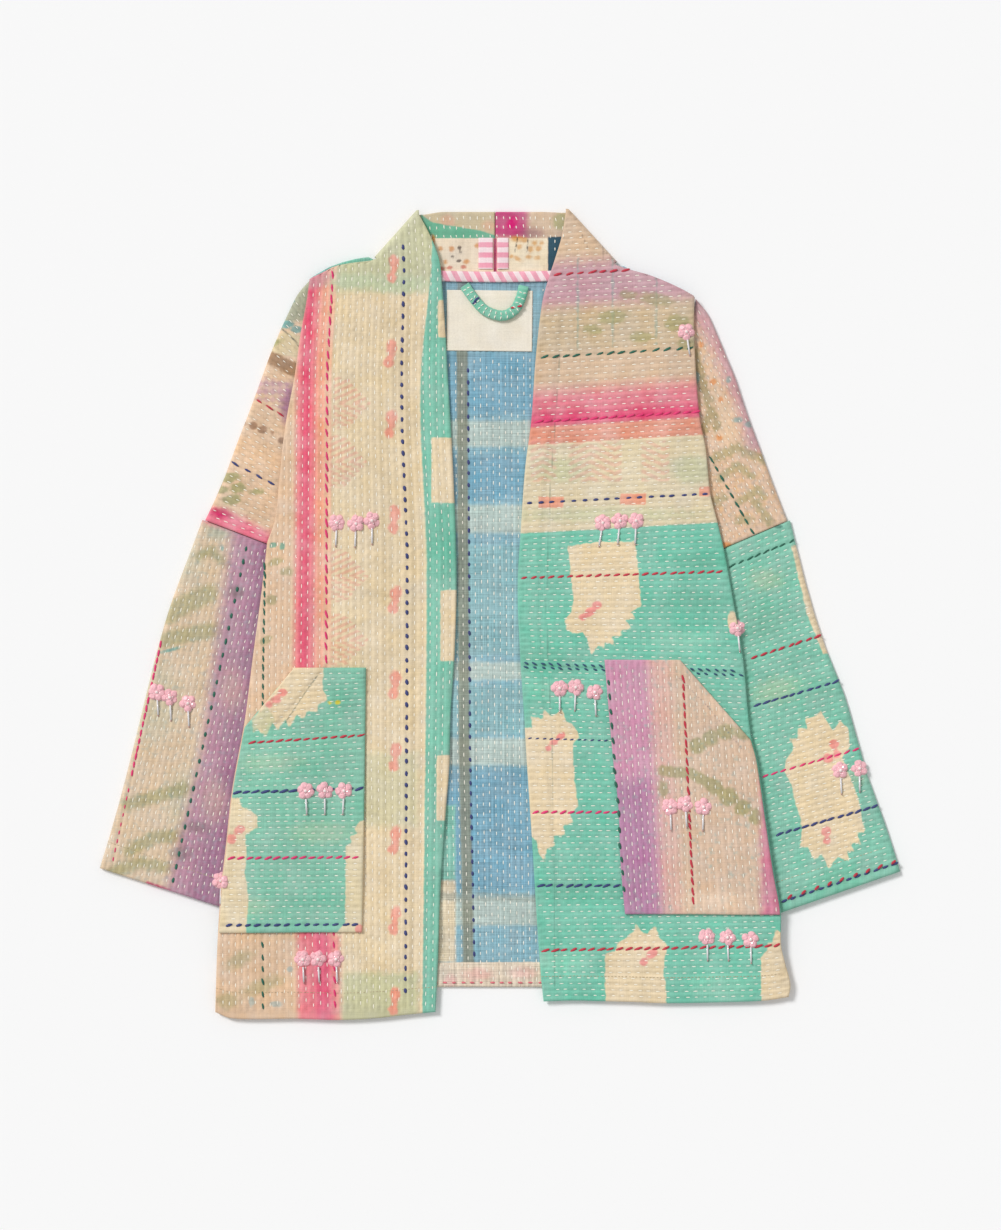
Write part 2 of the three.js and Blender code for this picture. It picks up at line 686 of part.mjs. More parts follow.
// A length of sleeve: a flattened tube through the rows of a table, from the cuff end up.
function sleeve(side, name, table, { ribs, hemmed, colour }) {
  const { data, place, outerEdge } = side;
  const solid = new Solid(data.sign < 0);
  const outerLine = smoothLine(table.map((row) => row.outer));
  const innerLine = smoothLine(table.map((row) => row.inner));
  const apart = (p, q) => Math.hypot(p[0] - q[0], p[1] - q[1]);
  const widest = Math.max(...table.map((row) => apart(row.outer, row.inner)));
  const length = apart(table[0].outer, lastOf(table).outer);
  const radius = SLEEVE_HEIGHT / 2;
  const bends = [90, 30, -30, -90];

  // One ring of the tube, from the hidden edge over the upper layer, round the folded edge and back below.
  function ring(t, columnStep, depth, rise) {
    const [folded, tucked] = [outerLine(t), innerLine(t)];
    const width = apart(folded, tucked);
    const flat = width - 2 * radius;
    const count = Math.ceil(widest / columnStep);
    const at = (reach, z) => place(...mixPoint(folded, tucked, reach / width), z);
    const turn = (centre, side) => (bend) => {
      const angle = THREE.MathUtils.degToRad(bend);
      const reach = (radius - depth) * Math.cos(angle);
      return at(centre + side * reach, radius + (radius - depth) * Math.sin(angle));
    };
    const hidden = bends.map(turn(width - radius, 1));
    const points = [hidden[0]];
    for (let i = count - 1; i > 0; i--) {
      const reach = radius + (i / count) * flat;
      const [out, y] = mixPoint(folded, tucked, reach / width);
      const shown = ease((out - outerEdge(y) - 3) / 12);
      const turned = hemmed && t * length < CUFF_HEM ? TURNED_HEM : 0;
      const shape = foldsAt(data.sleeveFolds, out, y) * ease((reach - radius) / 14);
      const raised = depth ? shape / 2 : shape + turned + rise(i);
      points.push(at(reach, SLEEVE_HEIGHT - depth + raised * shown));
    }
    points.push(...bends.map(turn(radius, -1)));
    for (const share of [0.33, 0.67]) points.push(at(radius + share * flat, depth));
    points.push(...hidden.reverse());
    return points;
  }
  // The rim at an open end, in four stretches: upper layer, folded edge, lower layer, hidden edge.
  // After the upper layer, each stretch has as many spaces between its points as a bend has.
  function rim(innerRing, outerRing) {
    const spaces = bends.length - 1;
    const stretches = (points) => {
      const end = points.length - 1;
      const corners = [0, end - 3 * spaces, end - 2 * spaces, end - spaces, end];
      return corners.slice(1).map((corner, i) => points.slice(corners[i], corner + 1));
    };
    const outerStretches = stretches(outerRing);
    return stretches(innerRing).map((stretch, i) => [stretch, outerStretches[i]]);
  }

  const along = ribs === "along";
  const rib = RIB_PITCH / 2;
  const levels = (step) => {
    const hemTop = CUFF_HEM / length;
    if (!hemmed) return spread(0, 1, step / length);
    return [...spread(0, hemTop, step / length), ...spread(hemTop + 0.006, 1, step / length)];
  };
  const outerLevels = levels(along ? 34 : rib);
  const outer = outerLevels.map((t, j) => {
    const onEnd = j === 0 || j === outerLevels.length - 1;
    const rise = along ? (i) => (i % 2) * RIB_RISE : () => (onEnd ? 0 : (j % 2) * RIB_RISE);
    return ring(t, along ? rib : WIDE_COLUMN, 0, rise);
  });
  const inner = levels(34).map((t) => ring(t, along ? 4 * rib : WIDE_COLUMN, CLOTH, () => 0));
  solid.face(outer);
  solid.face(inner, true);
  rim(inner[0], outer[0]).forEach(([near, far]) => solid.wall(near, far));
  rim(lastOf(inner), lastOf(outer)).forEach(([near, far]) => solid.wall(near.reverse(), far.reverse()));
  addMesh(name, solid.geometry(), colour);
}

// A patch pocket with a slanted opening, lying on its front and caught in the side seam.
function pocket(side, name, colour) {
  const { data, place, outerEdge, frontTop } = side;
  const { inner: innerTable, top, slantEnd, outerInset, ribs } = data.pocket;
  const solid = new Solid(data.sign < 0);
  const innerEdge = smoothTable(innerTable, "y", "out");
  const [low, high] = [innerTable[0].y, lastOf(innerTable).y];
  const pocketOuter = (y) => {
    if (y <= slantEnd.y) return outerEdge(y) - outerInset;
    const slant = (y - slantEnd.y) / (top.y - slantEnd.y);
    return mix(outerEdge(slantEnd.y) - outerInset, top.out, clamp01(slant));
  };
  const base = (out, y) => frontTop(out, y) + RIB_RISE + POCKET_GAP;
  // The slanted opening has a turned hem.
  const topOf = (out, y) => {
    const toSlant = (pocketOuter(y) - out) * OPENING_SLOPE;
    const turned = y > slantEnd.y ? ease((POCKET_HEM - toSlant) / 3) : 0;
    return base(out, y) + CLOTH + TURNED_HEM * turned;
  };
  const rib = RIB_PITCH / 2;
  const along = ribs === "along";
  const build = (rowsOf, rowStep, columnStep, upper) => {
    const rows = [...rowsOf(low, slantEnd.y, rowStep).slice(0, -1), ...rowsOf(slantEnd.y, high, rowStep)];
    const widest = Math.max(...rows.map((y) => pocketOuter(y) - innerEdge(y)));
    const count = Math.ceil(widest / columnStep);
    return rows.map((y, j) => Array.from({ length: count + 1 }, (_, i) => {
      const [near, far] = [innerEdge(y), pocketOuter(y)];
      const inside = i < count && i * columnStep < far - near - 0.4 * columnStep;
      const out = inside ? near + i * columnStep : far;
      const crest = along ? i % 2 === 1 : j % 2 === 1 && i > 0;
      const rise = upper && inside && crest && j > 0 && j < rows.length - 1 ? RIB_RISE : 0;
      return place(out, y, (upper ? topOf : base)(out, y) + rise);
    }));
  };
  const upper = along ? build(multiples, ROW_STEP, rib, true) : build(spread, rib, WIDE_COLUMN, true);
  const lower = build(multiples, ROW_STEP, along ? 4 * rib : WIDE_COLUMN, false);
  solid.face(upper);
  solid.face(lower, true);
  const loop = (rows) => [
    rows[0], rows.map(lastOf), [...lastOf(rows)].reverse(), column(rows, 0).reverse(),
  ];
  const upperLoop = loop(upper);
  loop(lower).forEach((line, i) => solid.wall(line, upperLoop[i]));
  addMesh(name, solid.geometry(), colour);
}

// A solid swept along a plan route. `section(t)` gives its outline there, as [across, up] points.
function swept(name, route, steps, section, colour) {
  const solid = new Solid(false);
  const rings = steps.map((t) => {
    const [x, y] = route(t);
    const [before, after] = [route(Math.max(0, t - 0.01)), route(Math.min(1, t + 0.01))];
    const length = Math.hypot(after[0] - before[0], after[1] - before[1]);
    const normal = [-(after[1] - before[1]) / length, (after[0] - before[0]) / length];
    const points = section(t).map(([across, up]) => [x + normal[0] * across, y + normal[1] * across, up]);
    return [...points, points[0]];
  });
  solid.face(rings);
  const cap = (ring, turned) => {
    for (let i = 1; i + 2 < ring.length; i++) {
      if (turned) solid.triangle(ring[0], ring[i + 1], ring[i]);
      else solid.triangle(ring[0], ring[i], ring[i + 1]);
    }
  };
  cap(rings[0], true);
  cap(lastOf(rings), false);
  addMesh(name, solid.geometry(), colour);
}

// A half-round strip section: flat below, arched above.
const strip = (width, height, base) => () => {
  const arch = [0, 36, 72, 108, 144, 180].map((turn) => {
    const angle = THREE.MathUtils.degToRad(turn);
    return [(width / 2) * Math.cos(angle), base + height * (0.3 + 0.7 * Math.sin(angle))];
  });
  return [[-width / 2, base], [width / 2, base], ...arch];
};

// A flattened round section, thinner where the loop is sewn down.
const loopSection = (base) => (t) => {
  const flattened = ease(Math.min(t, 1 - t) / LOOP.endRun);
  const half = mix(LOOP.endHeight, LOOP.height, flattened) / 2;
  return Array.from({ length: LOOP.sides }, (_, i) => {
    const angle = (2 * Math.PI * (i + 0.5)) / LOOP.sides;
    return [(LOOP.width / 2) * Math.cos(angle), base + half + half * Math.sin(angle)];
  });
};

const right = sideOf(SIDES.right);
const left = sideOf(SIDES.left);

back(right, left);
front(right, "front_right", COLOURS.cream);
front(left, "front_left", COLOURS.teal);
for (const [side, key, colours] of [
  [right, "right", [COLOURS.peach, COLOURS.mauve]],
  [left, "left", [COLOURS.peach, COLOURS.teal]],
]) {
  const { upper, lower, lowerRibs } = side.data.sleeve;
  sleeve(side, `sleeve_upper_${key}`, upper, { ribs: "across", hemmed: false, colour: colours[0] });
  sleeve(side, `sleeve_lower_${key}`, lower, { ribs: lowerRibs, hemmed: true, colour: colours[1] });
}
pocket(right, "pocket_right", COLOURS.teal);
pocket(left, "pocket_left", COLOURS.mauve);

const onCloth = CLOTH + SEAM_GAP;
const labelGeometry = new THREE.BoxGeometry(LABEL.width, LABEL.height, LABEL.thick);
const label = addMesh("label", labelGeometry, COLOURS.label, 0.8);
label.position.set(LABEL.x, LABEL.y, onCloth + LABEL.thick / 2);
label.rotation.z = THREE.MathUtils.degToRad(LABEL.turn);

const bindingRoute = (t) => [
  mix(BINDING.right, BINDING.left, t),
  BINDING.y - BINDING.sag * Math.sin(Math.PI * t),
];
const bindingStrip = strip(BINDING.width, BINDING.height, onCloth);
swept("neck_binding", bindingRoute, spread(0, 1, 1 / 12), bindingStrip, COLOURS.pink);
for (const { name, x, width, thick } of SEAM_BINDINGS) {
  const route = (t) => [x, mix(SEAM_BINDING_ENDS.low, SEAM_BINDING_ENDS.high, t)];
  swept(name, route, spread(0, 1, 1 / 4), strip(width, thick, onCloth), COLOURS.pink);
}
swept(
  "hanging_loop", smoothLine(LOOP.route), spread(0, 1, 1 / 18),
  loopSection(onCloth + LABEL.thick + SEAM_GAP), COLOURS.teal,
);

const jacket = new THREE.Group();
jacket.add(...meshes);

export default jacket;
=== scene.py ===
# A quilted cotton jacket with sequin flowers, laid out flat and seen from above.
# Plan sizes are in millimetres from the centre line (X) and the middle of the outline (Y), as in the frame.
import math

import bpy
import numpy as np
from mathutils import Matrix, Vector
from mathutils.bvhtree import BVHTree
from mathutils.geometry import delaunay_2d_cdt
from mathutils.kdtree import KDTree


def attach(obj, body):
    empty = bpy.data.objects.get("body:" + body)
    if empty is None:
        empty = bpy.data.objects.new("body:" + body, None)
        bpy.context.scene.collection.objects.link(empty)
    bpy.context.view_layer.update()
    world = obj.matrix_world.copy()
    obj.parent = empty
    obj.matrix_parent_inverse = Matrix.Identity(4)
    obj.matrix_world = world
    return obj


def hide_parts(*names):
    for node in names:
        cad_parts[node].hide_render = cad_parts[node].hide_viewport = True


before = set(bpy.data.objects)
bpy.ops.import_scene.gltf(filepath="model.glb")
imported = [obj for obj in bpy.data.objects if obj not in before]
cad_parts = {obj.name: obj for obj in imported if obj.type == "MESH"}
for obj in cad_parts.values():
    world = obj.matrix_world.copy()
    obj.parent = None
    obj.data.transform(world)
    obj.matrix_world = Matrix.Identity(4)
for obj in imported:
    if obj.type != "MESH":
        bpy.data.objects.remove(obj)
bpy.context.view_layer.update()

# Back
# One panel of layered cotton, quilted by hand in rows of white running stitch.
# Only its inside shows, between the fronts. It lies on the table and rises over the sleeves at its sides.
MM = 0.001
CLOTH = 1.8
SEAM_GAP = 0.4
HEM_RISE = 0.9
ROW_PITCH = 5.7
STITCH_PITCH = 8.5
BACK_HEM_Y = -342.5
BACK_HEM = 22.5
BACK_INSET = 1.4
LIFT_RAMP = 80
FRONT_HEM = 24
FAR_INSIDE = 99.0
PIXEL_MM = 0.92
MIDDLE_X, MIDDLE_Y = 499.5, 614.5
SLEEVE_TOP = 5.35
RIB_RISE = 0.5


def ease(t):
    t = np.clip(t, 0.0, 1.0)
    return t * t * (3.0 - 2.0 * t)


def mix(a, b, t):
    return a + (b - a) * t


def smooth_table(rows):
    """A smooth function through rows of (at, value)."""
    at, value = np.array(rows, float).T
    before = np.maximum(np.arange(len(at)) - 1, 0)
    after = np.minimum(np.arange(len(at)) + 1, len(at) - 1)
    slope = (value[after] - value[before]) / (at[after] - at[before])

    def look_up(x):
        i = np.clip(np.searchsorted(at, x, side="right") - 1, 0, len(at) - 2)
        run = at[i + 1] - at[i]
        t = np.clip((x - at[i]) / run, 0.0, 1.0)
        rise = value[i + 1] - value[i]
        bend = (slope[i] * run - rise) * (1 - t) - (slope[i + 1] * run - rise) * t
        return value[i] + rise * t + t * (1 - t) * bend

    return look_up


def waves(x, y, size, seed):
    """Uneven swells about `size` long, from about -1 to 1."""
    draw = np.random.default_rng(seed)
    total = np.zeros(np.broadcast(x, y).shape)
    for _ in range(7):
        turn, length, start = draw.uniform([0, 0.7, 0], [math.pi, 1.4, 2 * math.pi])
        along = x * math.cos(turn) + y * math.sin(turn)
        total += np.sin(along * 2 * math.pi / (size * length) + start)
    return total / 3.2


class Side:
    """One side of the body: its outlines and the heights of its layers. `out` is the distance from the
    centre line."""

    def __init__(self, sign, cuff_y, front_edge, side_edge, armhole, shoulder, hem, hidden, folds):
        self.sign, self.cuff_y, self.folds = sign, cuff_y, folds
        self.front_edge, self.side_edge = smooth_table(front_edge), smooth_table(side_edge)
        self.armhole, self.shoulder = smooth_table(armhole), smooth_table(shoulder)
        self.hem_drop, self.hidden = smooth_table(hem), smooth_table(hidden)
        self.hem_y, self.underarm = front_edge[0][0], armhole[0][0]
        self.tip, self.neck, self.corner = armhole[-1], shoulder[-1], front_edge[-1]

    def roll_out(self, y):
        """Where the collar rolls over."""
        share = (y - self.neck[0]) / (self.corner[0] - self.neck[0])
        return mix(self.neck[1], self.corner[1], share)

    def outer_edge(self, y):
        choices = [self.side_edge(y), self.armhole(y), self.shoulder(y)]
        return np.select([y <= self.underarm, y <= self.tip[0], y <= self.neck[0]], choices, self.roll_out(y))

    def lift(self, out, y):
        """How far the sleeve underneath lifts the body."""
        beside = ease(1 + (out - self.hidden(y)) / LIFT_RAMP)
        return SLEEVE_TOP * beside * ease(1 + (y - self.cuff_y) / LIFT_RAMP)

    def back_top(self, out, y):
        return self.lift(out, y) + CLOTH + HEM_RISE * ease((BACK_HEM_Y + BACK_HEM + 0.6 - y) / 1.2)

    def air(self, out, y):
        inward = ease((self.outer_edge(y) - out) / 34) * ease((y - self.hem_y) / 24)
        from_front = ease((out - self.front_edge(y)) / 26)
        over_hem = 0.9 * ease((BACK_HEM_Y + BACK_HEM + 60 - y) / 30)
        at_neck = 3.4 * ease((y - 236) / 62) * ease((self.neck[1] + 44 - out) / 46)
        return 0.3 + 0.9 * inward * from_front + over_hem + at_neck

    def fold(self, out, y):
        window = ease((self.outer_edge(y) - out) / 16) * ease((y - self.hem_y + 6) / 20)
        over = np.where(y > self.tip[0], ease((self.neck[1] + 34 - out) / 40), 1.0)
        return creases(self.folds, out, y) * window * over

    def front_under(self, out, y):
        return self.lift(out, y) + CLOTH + SEAM_GAP + self.air(out, y) + self.fold(out, y) / 2

    def front_top(self, out, y):
        edge = ease((self.front_edge(y) + 22 - out) / 4) * ease((self.neck[0] - 20 - y) / 30)
        turned = HEM_RISE * np.maximum(edge, ease((self.hem_y + FRONT_HEM + 2 - y) / 4))
        return self.front_under(out, y) + self.fold(out, y) / 2 + CLOTH + turned

    def row_y(self, out, y):
        """Rows follow the hem's own line at the bottom and are level above it."""
        return y + self.hem_drop(out) * ease(1 - (y - self.hem_y) / 70)


def creases(folds, out, y):
    """Soft ridges: each is a rounded crest along a short line (out, y, turn, length, width, rise)."""
    total = np.zeros(np.broadcast(out, y).shape)
    for at_out, at_y, turn, length, width, rise in folds:
        cos, sin = math.cos(math.radians(turn)), math.sin(math.radians(turn))
        along = ((out - at_out) * cos + (y - at_y) * sin) / (length / 2)
        across = ((y - at_y) * cos - (out - at_out) * sin) / width
        total += rise * np.exp(-across * across) * ease(1 - np.abs(along))
    return total


right = Side(
    sign=-1,
    cuff_y=-290,
    front_edge=[(-366, 59.2), (-320, 57), (-252, 54.6), (-184, 50), (-140, 46.6), (-88, 45.2), (-43, 42),
                (36, 39.8), (128, 42.8), (212, 47.4), (302, 53), (327, 56), (349, 64.5), (367.4, 74.4)],
    side_edge=[(-366, 261.6), (-308, 259.4), (-252, 256), (-213, 251.6), (-160, 245.6), (-96, 234),
               (-43, 227.2), (25, 218.2), (66, 213.6)],
    armhole=[(66, 213.6), (87, 206.4), (118, 203), (171, 197.2), (220, 188.2), (254, 183.4), (289, 177.2),
             (308, 174.6)],
    shoulder=[(308, 174.6), (314.5, 161), (321, 145.6), (325.4, 112)],
    hem=[(59, 1), (84, -1.4), (112, -4.6), (146, -6.4), (188, -5.2), (246, -5), (262, 1)],
    hidden=[(-276, 243), (-233, 231), (-156, 205.6), (-79, 180), (-1, 153.6), (38, 141), (106, 146),
            (200, 157), (308, 168)],
    folds=[(101, 232, 90, 190, 7, 1.5), (84, 176, 84, 120, 9, 0.9), (128, 50, 172, 78, 6, 1.1),
           (122, 24, 5, 92, 6, 1.3), (134, -4, 176, 70, 5.5, 0.9), (120, -30, 9, 84, 7, 1.2),
           (186, 34, 48, 96, 10, 1.5), (168, 128, 78, 130, 13, 1.2), (92, -316, 86, 96, 12, 1.4),
           (178, -330, 97, 70, 15, 1.1)],
)
left = Side(
    sign=1,
    cuff_y=-294,
    front_edge=[(-355.4, 40), (-335, 37.8), (-291, 34.5), (-202, 29), (-139, 24.8), (-92, 22), (-36, 18.3),
                (27, 16.2), (83, 19.4), (136, 23.2), (177, 28.6), (236, 32.8), (287, 38.8), (306, 43.8),
                (330, 51.6), (347, 56.6), (369.4, 60.4)],
    side_edge=[(-355.4, 264), (-340, 266.6), (-320, 261.6), (-302, 257.6), (-271, 257.4), (-238, 251.6),
               (-186, 243.8), (-134, 236), (-108, 229.6), (-41, 223), (14, 213.8), (60, 205.4)],
    armhole=[(60, 205.4), (86, 199.2), (111, 193), (153, 188.6), (178, 183.6), (212, 180.4), (263, 178),
             (292, 178.6)],
    shoulder=[(292, 178.6), (299.4, 165), (306.4, 150), (312, 135.6), (316, 121), (321.4, 104.4)],
    hem=[(40, 0), (66, 0.9), (88, 0.4), (120, -0.4), (152, -1.6), (200, -0.8), (242, 0.8), (266, 4.4)],
    hidden=[(-281, 246), (-239, 233.4), (-161, 206.6), (-83, 179.6), (-5, 152.6), (34, 139), (103, 144.4),
            (200, 157), (292, 169)],
    folds=[(84, 318, 104, 60, 6, 1.3), (104, 208, 96, 150, 12, 1.3), (152, 236, 70, 110, 11, 1.1),
           (150, 140, 84, 120, 12, 1.2), (168, 30, 118, 110, 10, 1.6), (70, 8, 88, 170, 12, 1.2),
           (128, 6, 94, 90, 9, 0.9), (66, -170, 93, 150, 11, 1.2), (86, -318, 88, 80, 13, 1.5),
           (160, -322, 95, 74, 16, 1.2), (232, -322, 82, 66, 12, 1.3)],
)


def through(lines, pitch=ROW_PITCH):
    """Steps through every line, three to each row of stitches: each third one is a row."""
    steps = []
    for low, high in zip(lines, lines[1:]):
        rows = max(1, round((high - low) / pitch))
        steps.extend(np.linspace(low, high, 3 * rows, endpoint=False))
    return np.array(steps + [lines[-1]])


def lattice(columns, levels, out_of, y_of, low, high, snap=1.1):
    """Plan of a panel, level by column, and the first and last column of each level.
    Points that would pass an edge are drawn in to it."""
    column, level = np.meshgrid(columns, levels)
    y = level.copy()
    for _ in range(4):
        out = np.clip(out_of(column, y), low(y), np.maximum(high(y), low(y)))
        y = y_of(out, level)
    low_out, high_out = low(y), np.maximum(high(y), low(y))
    first = np.maximum((out <= low_out + snap).sum(1) - 1, 0)
    last = np.clip(out.shape[1] - (out >= high_out - snap).sum(1), first, out.shape[1] - 1)
    rows = np.arange(len(levels))
    out[rows, first] = low_out[rows, first]
    out[rows, last] = np.where(last > first, high_out[rows, last], out[rows, last])
    return np.stack([out, y], -1), first, last


def panel_faces(first, last, columns):
    row_start = columns * np.arange(len(first))[:, None]
    index = np.clip(np.arange(columns), first[:, None], last[:, None]) + row_start
    quads = np.stack([index[:-1, :-1], index[:-1, 1:], index[1:, 1:], index[1:, :-1]], -1).reshape(-1, 4)
    below, above = quads[:, 0] == quads[:, 1], quads[:, 2] == quads[:, 3]
    whole = quads[~below & ~above].tolist()
    return whole + quads[below & ~above][:, 1:].tolist() + quads[above & ~below][:, :3].tolist()


def outline_of(faces):
    """The loop of points round a panel, with the panel on its left."""
    edges = {(a, b) for face in faces for a, b in zip(face, face[1:] + face[:1])}
    following = {a: b for a, b in edges if (b, a) not in edges}
    loop = [min(following)]
    while following[loop[-1]] != loop[0]:
        loop.append(following[loop[-1]])
    return np.array(loop)


def gap_to(starts, ends, points):
    """How far each point is from the nearest of some straight stretches, and which that is."""
    span = ends - starts
    along = ((points[:, None] - starts) * span).sum(-1) / np.maximum((span * span).sum(-1), 1e-9)
    nearest = starts + np.clip(along, 0, 1)[..., None] * span
    gaps = np.linalg.norm(points[:, None] - nearest, axis=-1)
    return gaps.min(1), gaps.argmin(1)


def inside(loop, points):
    ahead = np.roll(loop, -1, 0)
    crosses = (loop[:, 1] > points[:, None, 1]) != (ahead[:, 1] > points[:, None, 1])
    rise = np.where(ahead[:, 1] == loop[:, 1], 1e-9, ahead[:, 1] - loop[:, 1])
    at = loop[:, 0] + (points[:, None, 1] - loop[:, 1]) / rise * (ahead[:, 0] - loop[:, 0])
    return (crosses & (points[:, None, 0] < at)).sum(1) % 2 == 1


def shell(plan, top, faces, under, cut, folded=None, radius=None, rings=(), grid=13.0):
    """A closed sheet of cloth. `top` is the height of its upper face and under(points, inset, radius) that of
    its lower one. A folded edge ends at the middle of its bend, and a sewn one is a rounded rim."""
    loop = outline_of(faces)
    edge = plan[loop]
    bent = np.zeros(len(loop), bool) if folded is None else folded[loop]
    bend_radius = np.zeros(len(loop)) if radius is None else radius[loop]
    ahead = np.roll(edge, -1, 0) - np.roll(edge, 1, 0)
    length = np.maximum(np.linalg.norm(ahead, axis=1), 1e-9)[:, None]
    inward = np.stack([-ahead[:, 1], ahead[:, 0]], 1) / length
    spacing = np.linalg.norm(edge - np.roll(edge, 1, 0), axis=1)
    room = np.minimum(spacing, np.roll(spacing, -1))[:, None]
    pairs = bent & np.roll(bent, -1)

    def under_at(points):
        if not pairs.any():
            return under(points, np.full(len(points), FAR_INSIDE), np.full(len(points), 2.0))
        inset, nearest = gap_to(edge[pairs], np.roll(edge, -1, 0)[pairs], points)
        return under(points, inset, bend_radius[pairs][nearest])

    upper = plan.copy()
    upper[loop] += inward * np.minimum(np.where(bent, 0.02, 0.7)[:, None], room / 2)
    low = edge + inward * np.minimum(0.4, room / 2)
    middle = np.where(bent, bend_radius - 0.03, (top[loop] + under_at(edge)) / 2)
    spots = [low] + [(edge + inward * reach)[bent] for reach in rings]
    x, y = np.meshgrid(*[np.arange(edge[:, k].min(), edge[:, k].max(), grid) for k in (0, 1)])
    inner = np.stack([x.ravel(), y.ravel()], 1)
    inner = inner[inside(edge, inner)]
    clear = gap_to(edge, np.roll(edge, -1, 0), inner)[0] > 0.6 * grid
    spots = np.concatenate(spots + [inner[clear]])
    made = delaunay_2d_cdt([Vector(p) for p in spots], [], [list(range(len(low)))], 1, 1e-5)
    came_from = [source[0] for source in made[3]]
    used = len(plan)
    rim = len(loop)
    under_faces = [[used + rim + came_from[i] for i in reversed(face)] for face in made[2]]
    heights = [top, middle, under_at(spots)]
    points = np.column_stack([np.concatenate([upper, edge, spots]), np.concatenate(heights)])
    tree = KDTree(len(plan))
    for i, p in enumerate(plan):
        tree.insert((p[0], p[1], 0), i)
    tree.balance()
    nearest = [tree.find((p[0], p[1], 0))[1] for p in spots]
    marks = np.concatenate([cut, cut[loop], cut[nearest]])
    around = np.arange(rim)
    beyond = np.roll(around, -1)
    rim_faces = np.concatenate([
        np.stack([loop[beyond], loop[around], used + around, used + beyond], 1),
        np.stack([used + beyond, used + around, used + rim + around, used + rim + beyond], 1),
    ])
    return points, faces + rim_faces.tolist() + under_faces, marks


def cloth_object(name, shells, sign=1):
    """One object from closed shells whose points are (out, y, z)."""
    points, faces, marks, start = [], [], [], 0
    for shell_points, shell_faces, shell_marks in shells:
        used = np.unique(np.concatenate([np.ravel(f) for f in shell_faces]))
        place = np.full(len(shell_points), -1)
        place[used] = start + np.arange(len(used))
        points.append(shell_points[used])
        marks.append(shell_marks[used])
        faces += [place[f].tolist()[::sign] for f in shell_faces]
        start += len(used)
    points = np.concatenate(points) * [sign * MM, MM, MM]
    mesh = bpy.data.meshes.new(name)
    mesh.from_pydata(points.tolist(), [], faces)
    mesh.polygons.foreach_set("use_smooth", [True] * len(mesh.polygons))
    cut = mesh.attributes.new("cut", "FLOAT_VECTOR", "POINT")
    flat = np.column_stack([np.concatenate(marks), np.zeros(len(points))])[:, :3]
    cut.data.foreach_set("vector", flat.astype(np.float32).ravel())
    mesh.update()
    made = bpy.data.objects.new(name, mesh)
    bpy.context.scene.collection.objects.link(made)
    return made


def quilting(along, rows, phases, seed):
    """Height of the quilting: a ridge between two rows of stitches, drawn in where a stitch lies."""
    row = np.arange(rows)
    pulled = 0.5 + 0.5 * np.cos(2 * math.pi * (along[:, None] - phases[row // 3]) / STITCH_PITCH)
    ripple = waves(along[:, None], row[None, :] * 5.3, 7, seed)
    return np.where(row % 3 == 0, -0.1 - 0.6 * pulled, 0.48 + 0.34 * ripple)


def stitches_in(points, keep, along, phases, draw, length=4.3):
    """Stitches down every third column of points: middle, direction, length and tone of each."""
    found = []
    for column in range(0, points.shape[1], 3):
        line, usable = points[:, column], keep[:, column]
        if usable.sum() < 4:
            continue
        middles = np.arange(along[0] + (phases[column // 3] - along[0]) % STITCH_PITCH, along[-1],
                            STITCH_PITCH)
        middles = middles + draw.normal(0, 0.55, len(middles))
        lengths = length * draw.uniform(0.78, 1.14, len(middles))
        low, here, high = (
            np.stack([np.interp(middles + side * lengths / 2, along, line[:, k]) for k in range(3)], 1)
            for side in (-1, 0, 1)
        )
        near = [np.interp(middles + side * lengths / 2, along, usable.astype(float)) for side in (-1, 1)]
        fine = np.minimum(*near) > 0.9
        span = high - low
        reach = np.linalg.norm(span, axis=1)
        for k in np.nonzero(fine & (reach > 1.5) & (reach < 7))[0]:
            found.append((*((low[k] + high[k] + 2 * here[k]) / 4), *(span[k] / reach[k]), reach[k],
                          draw.random()))
    return np.array(found).reshape(-1, 8)


def quilting_on(columns, levels, rows_up, phases, seed):
    """The quilting of a whole panel, level by column, whose rows run up it or across it."""
    if rows_up:
        return quilting(levels, len(columns), phases, seed)
    return quilting(columns, len(levels), phases, seed).T


def stitches_on(points, keep, columns, levels, rows_up, phases, draw):
    if rows_up:
        return stitches_in(points, keep, levels, phases, draw)
    return stitches_in(points.transpose(1, 0, 2), keep.T, columns, phases, draw)


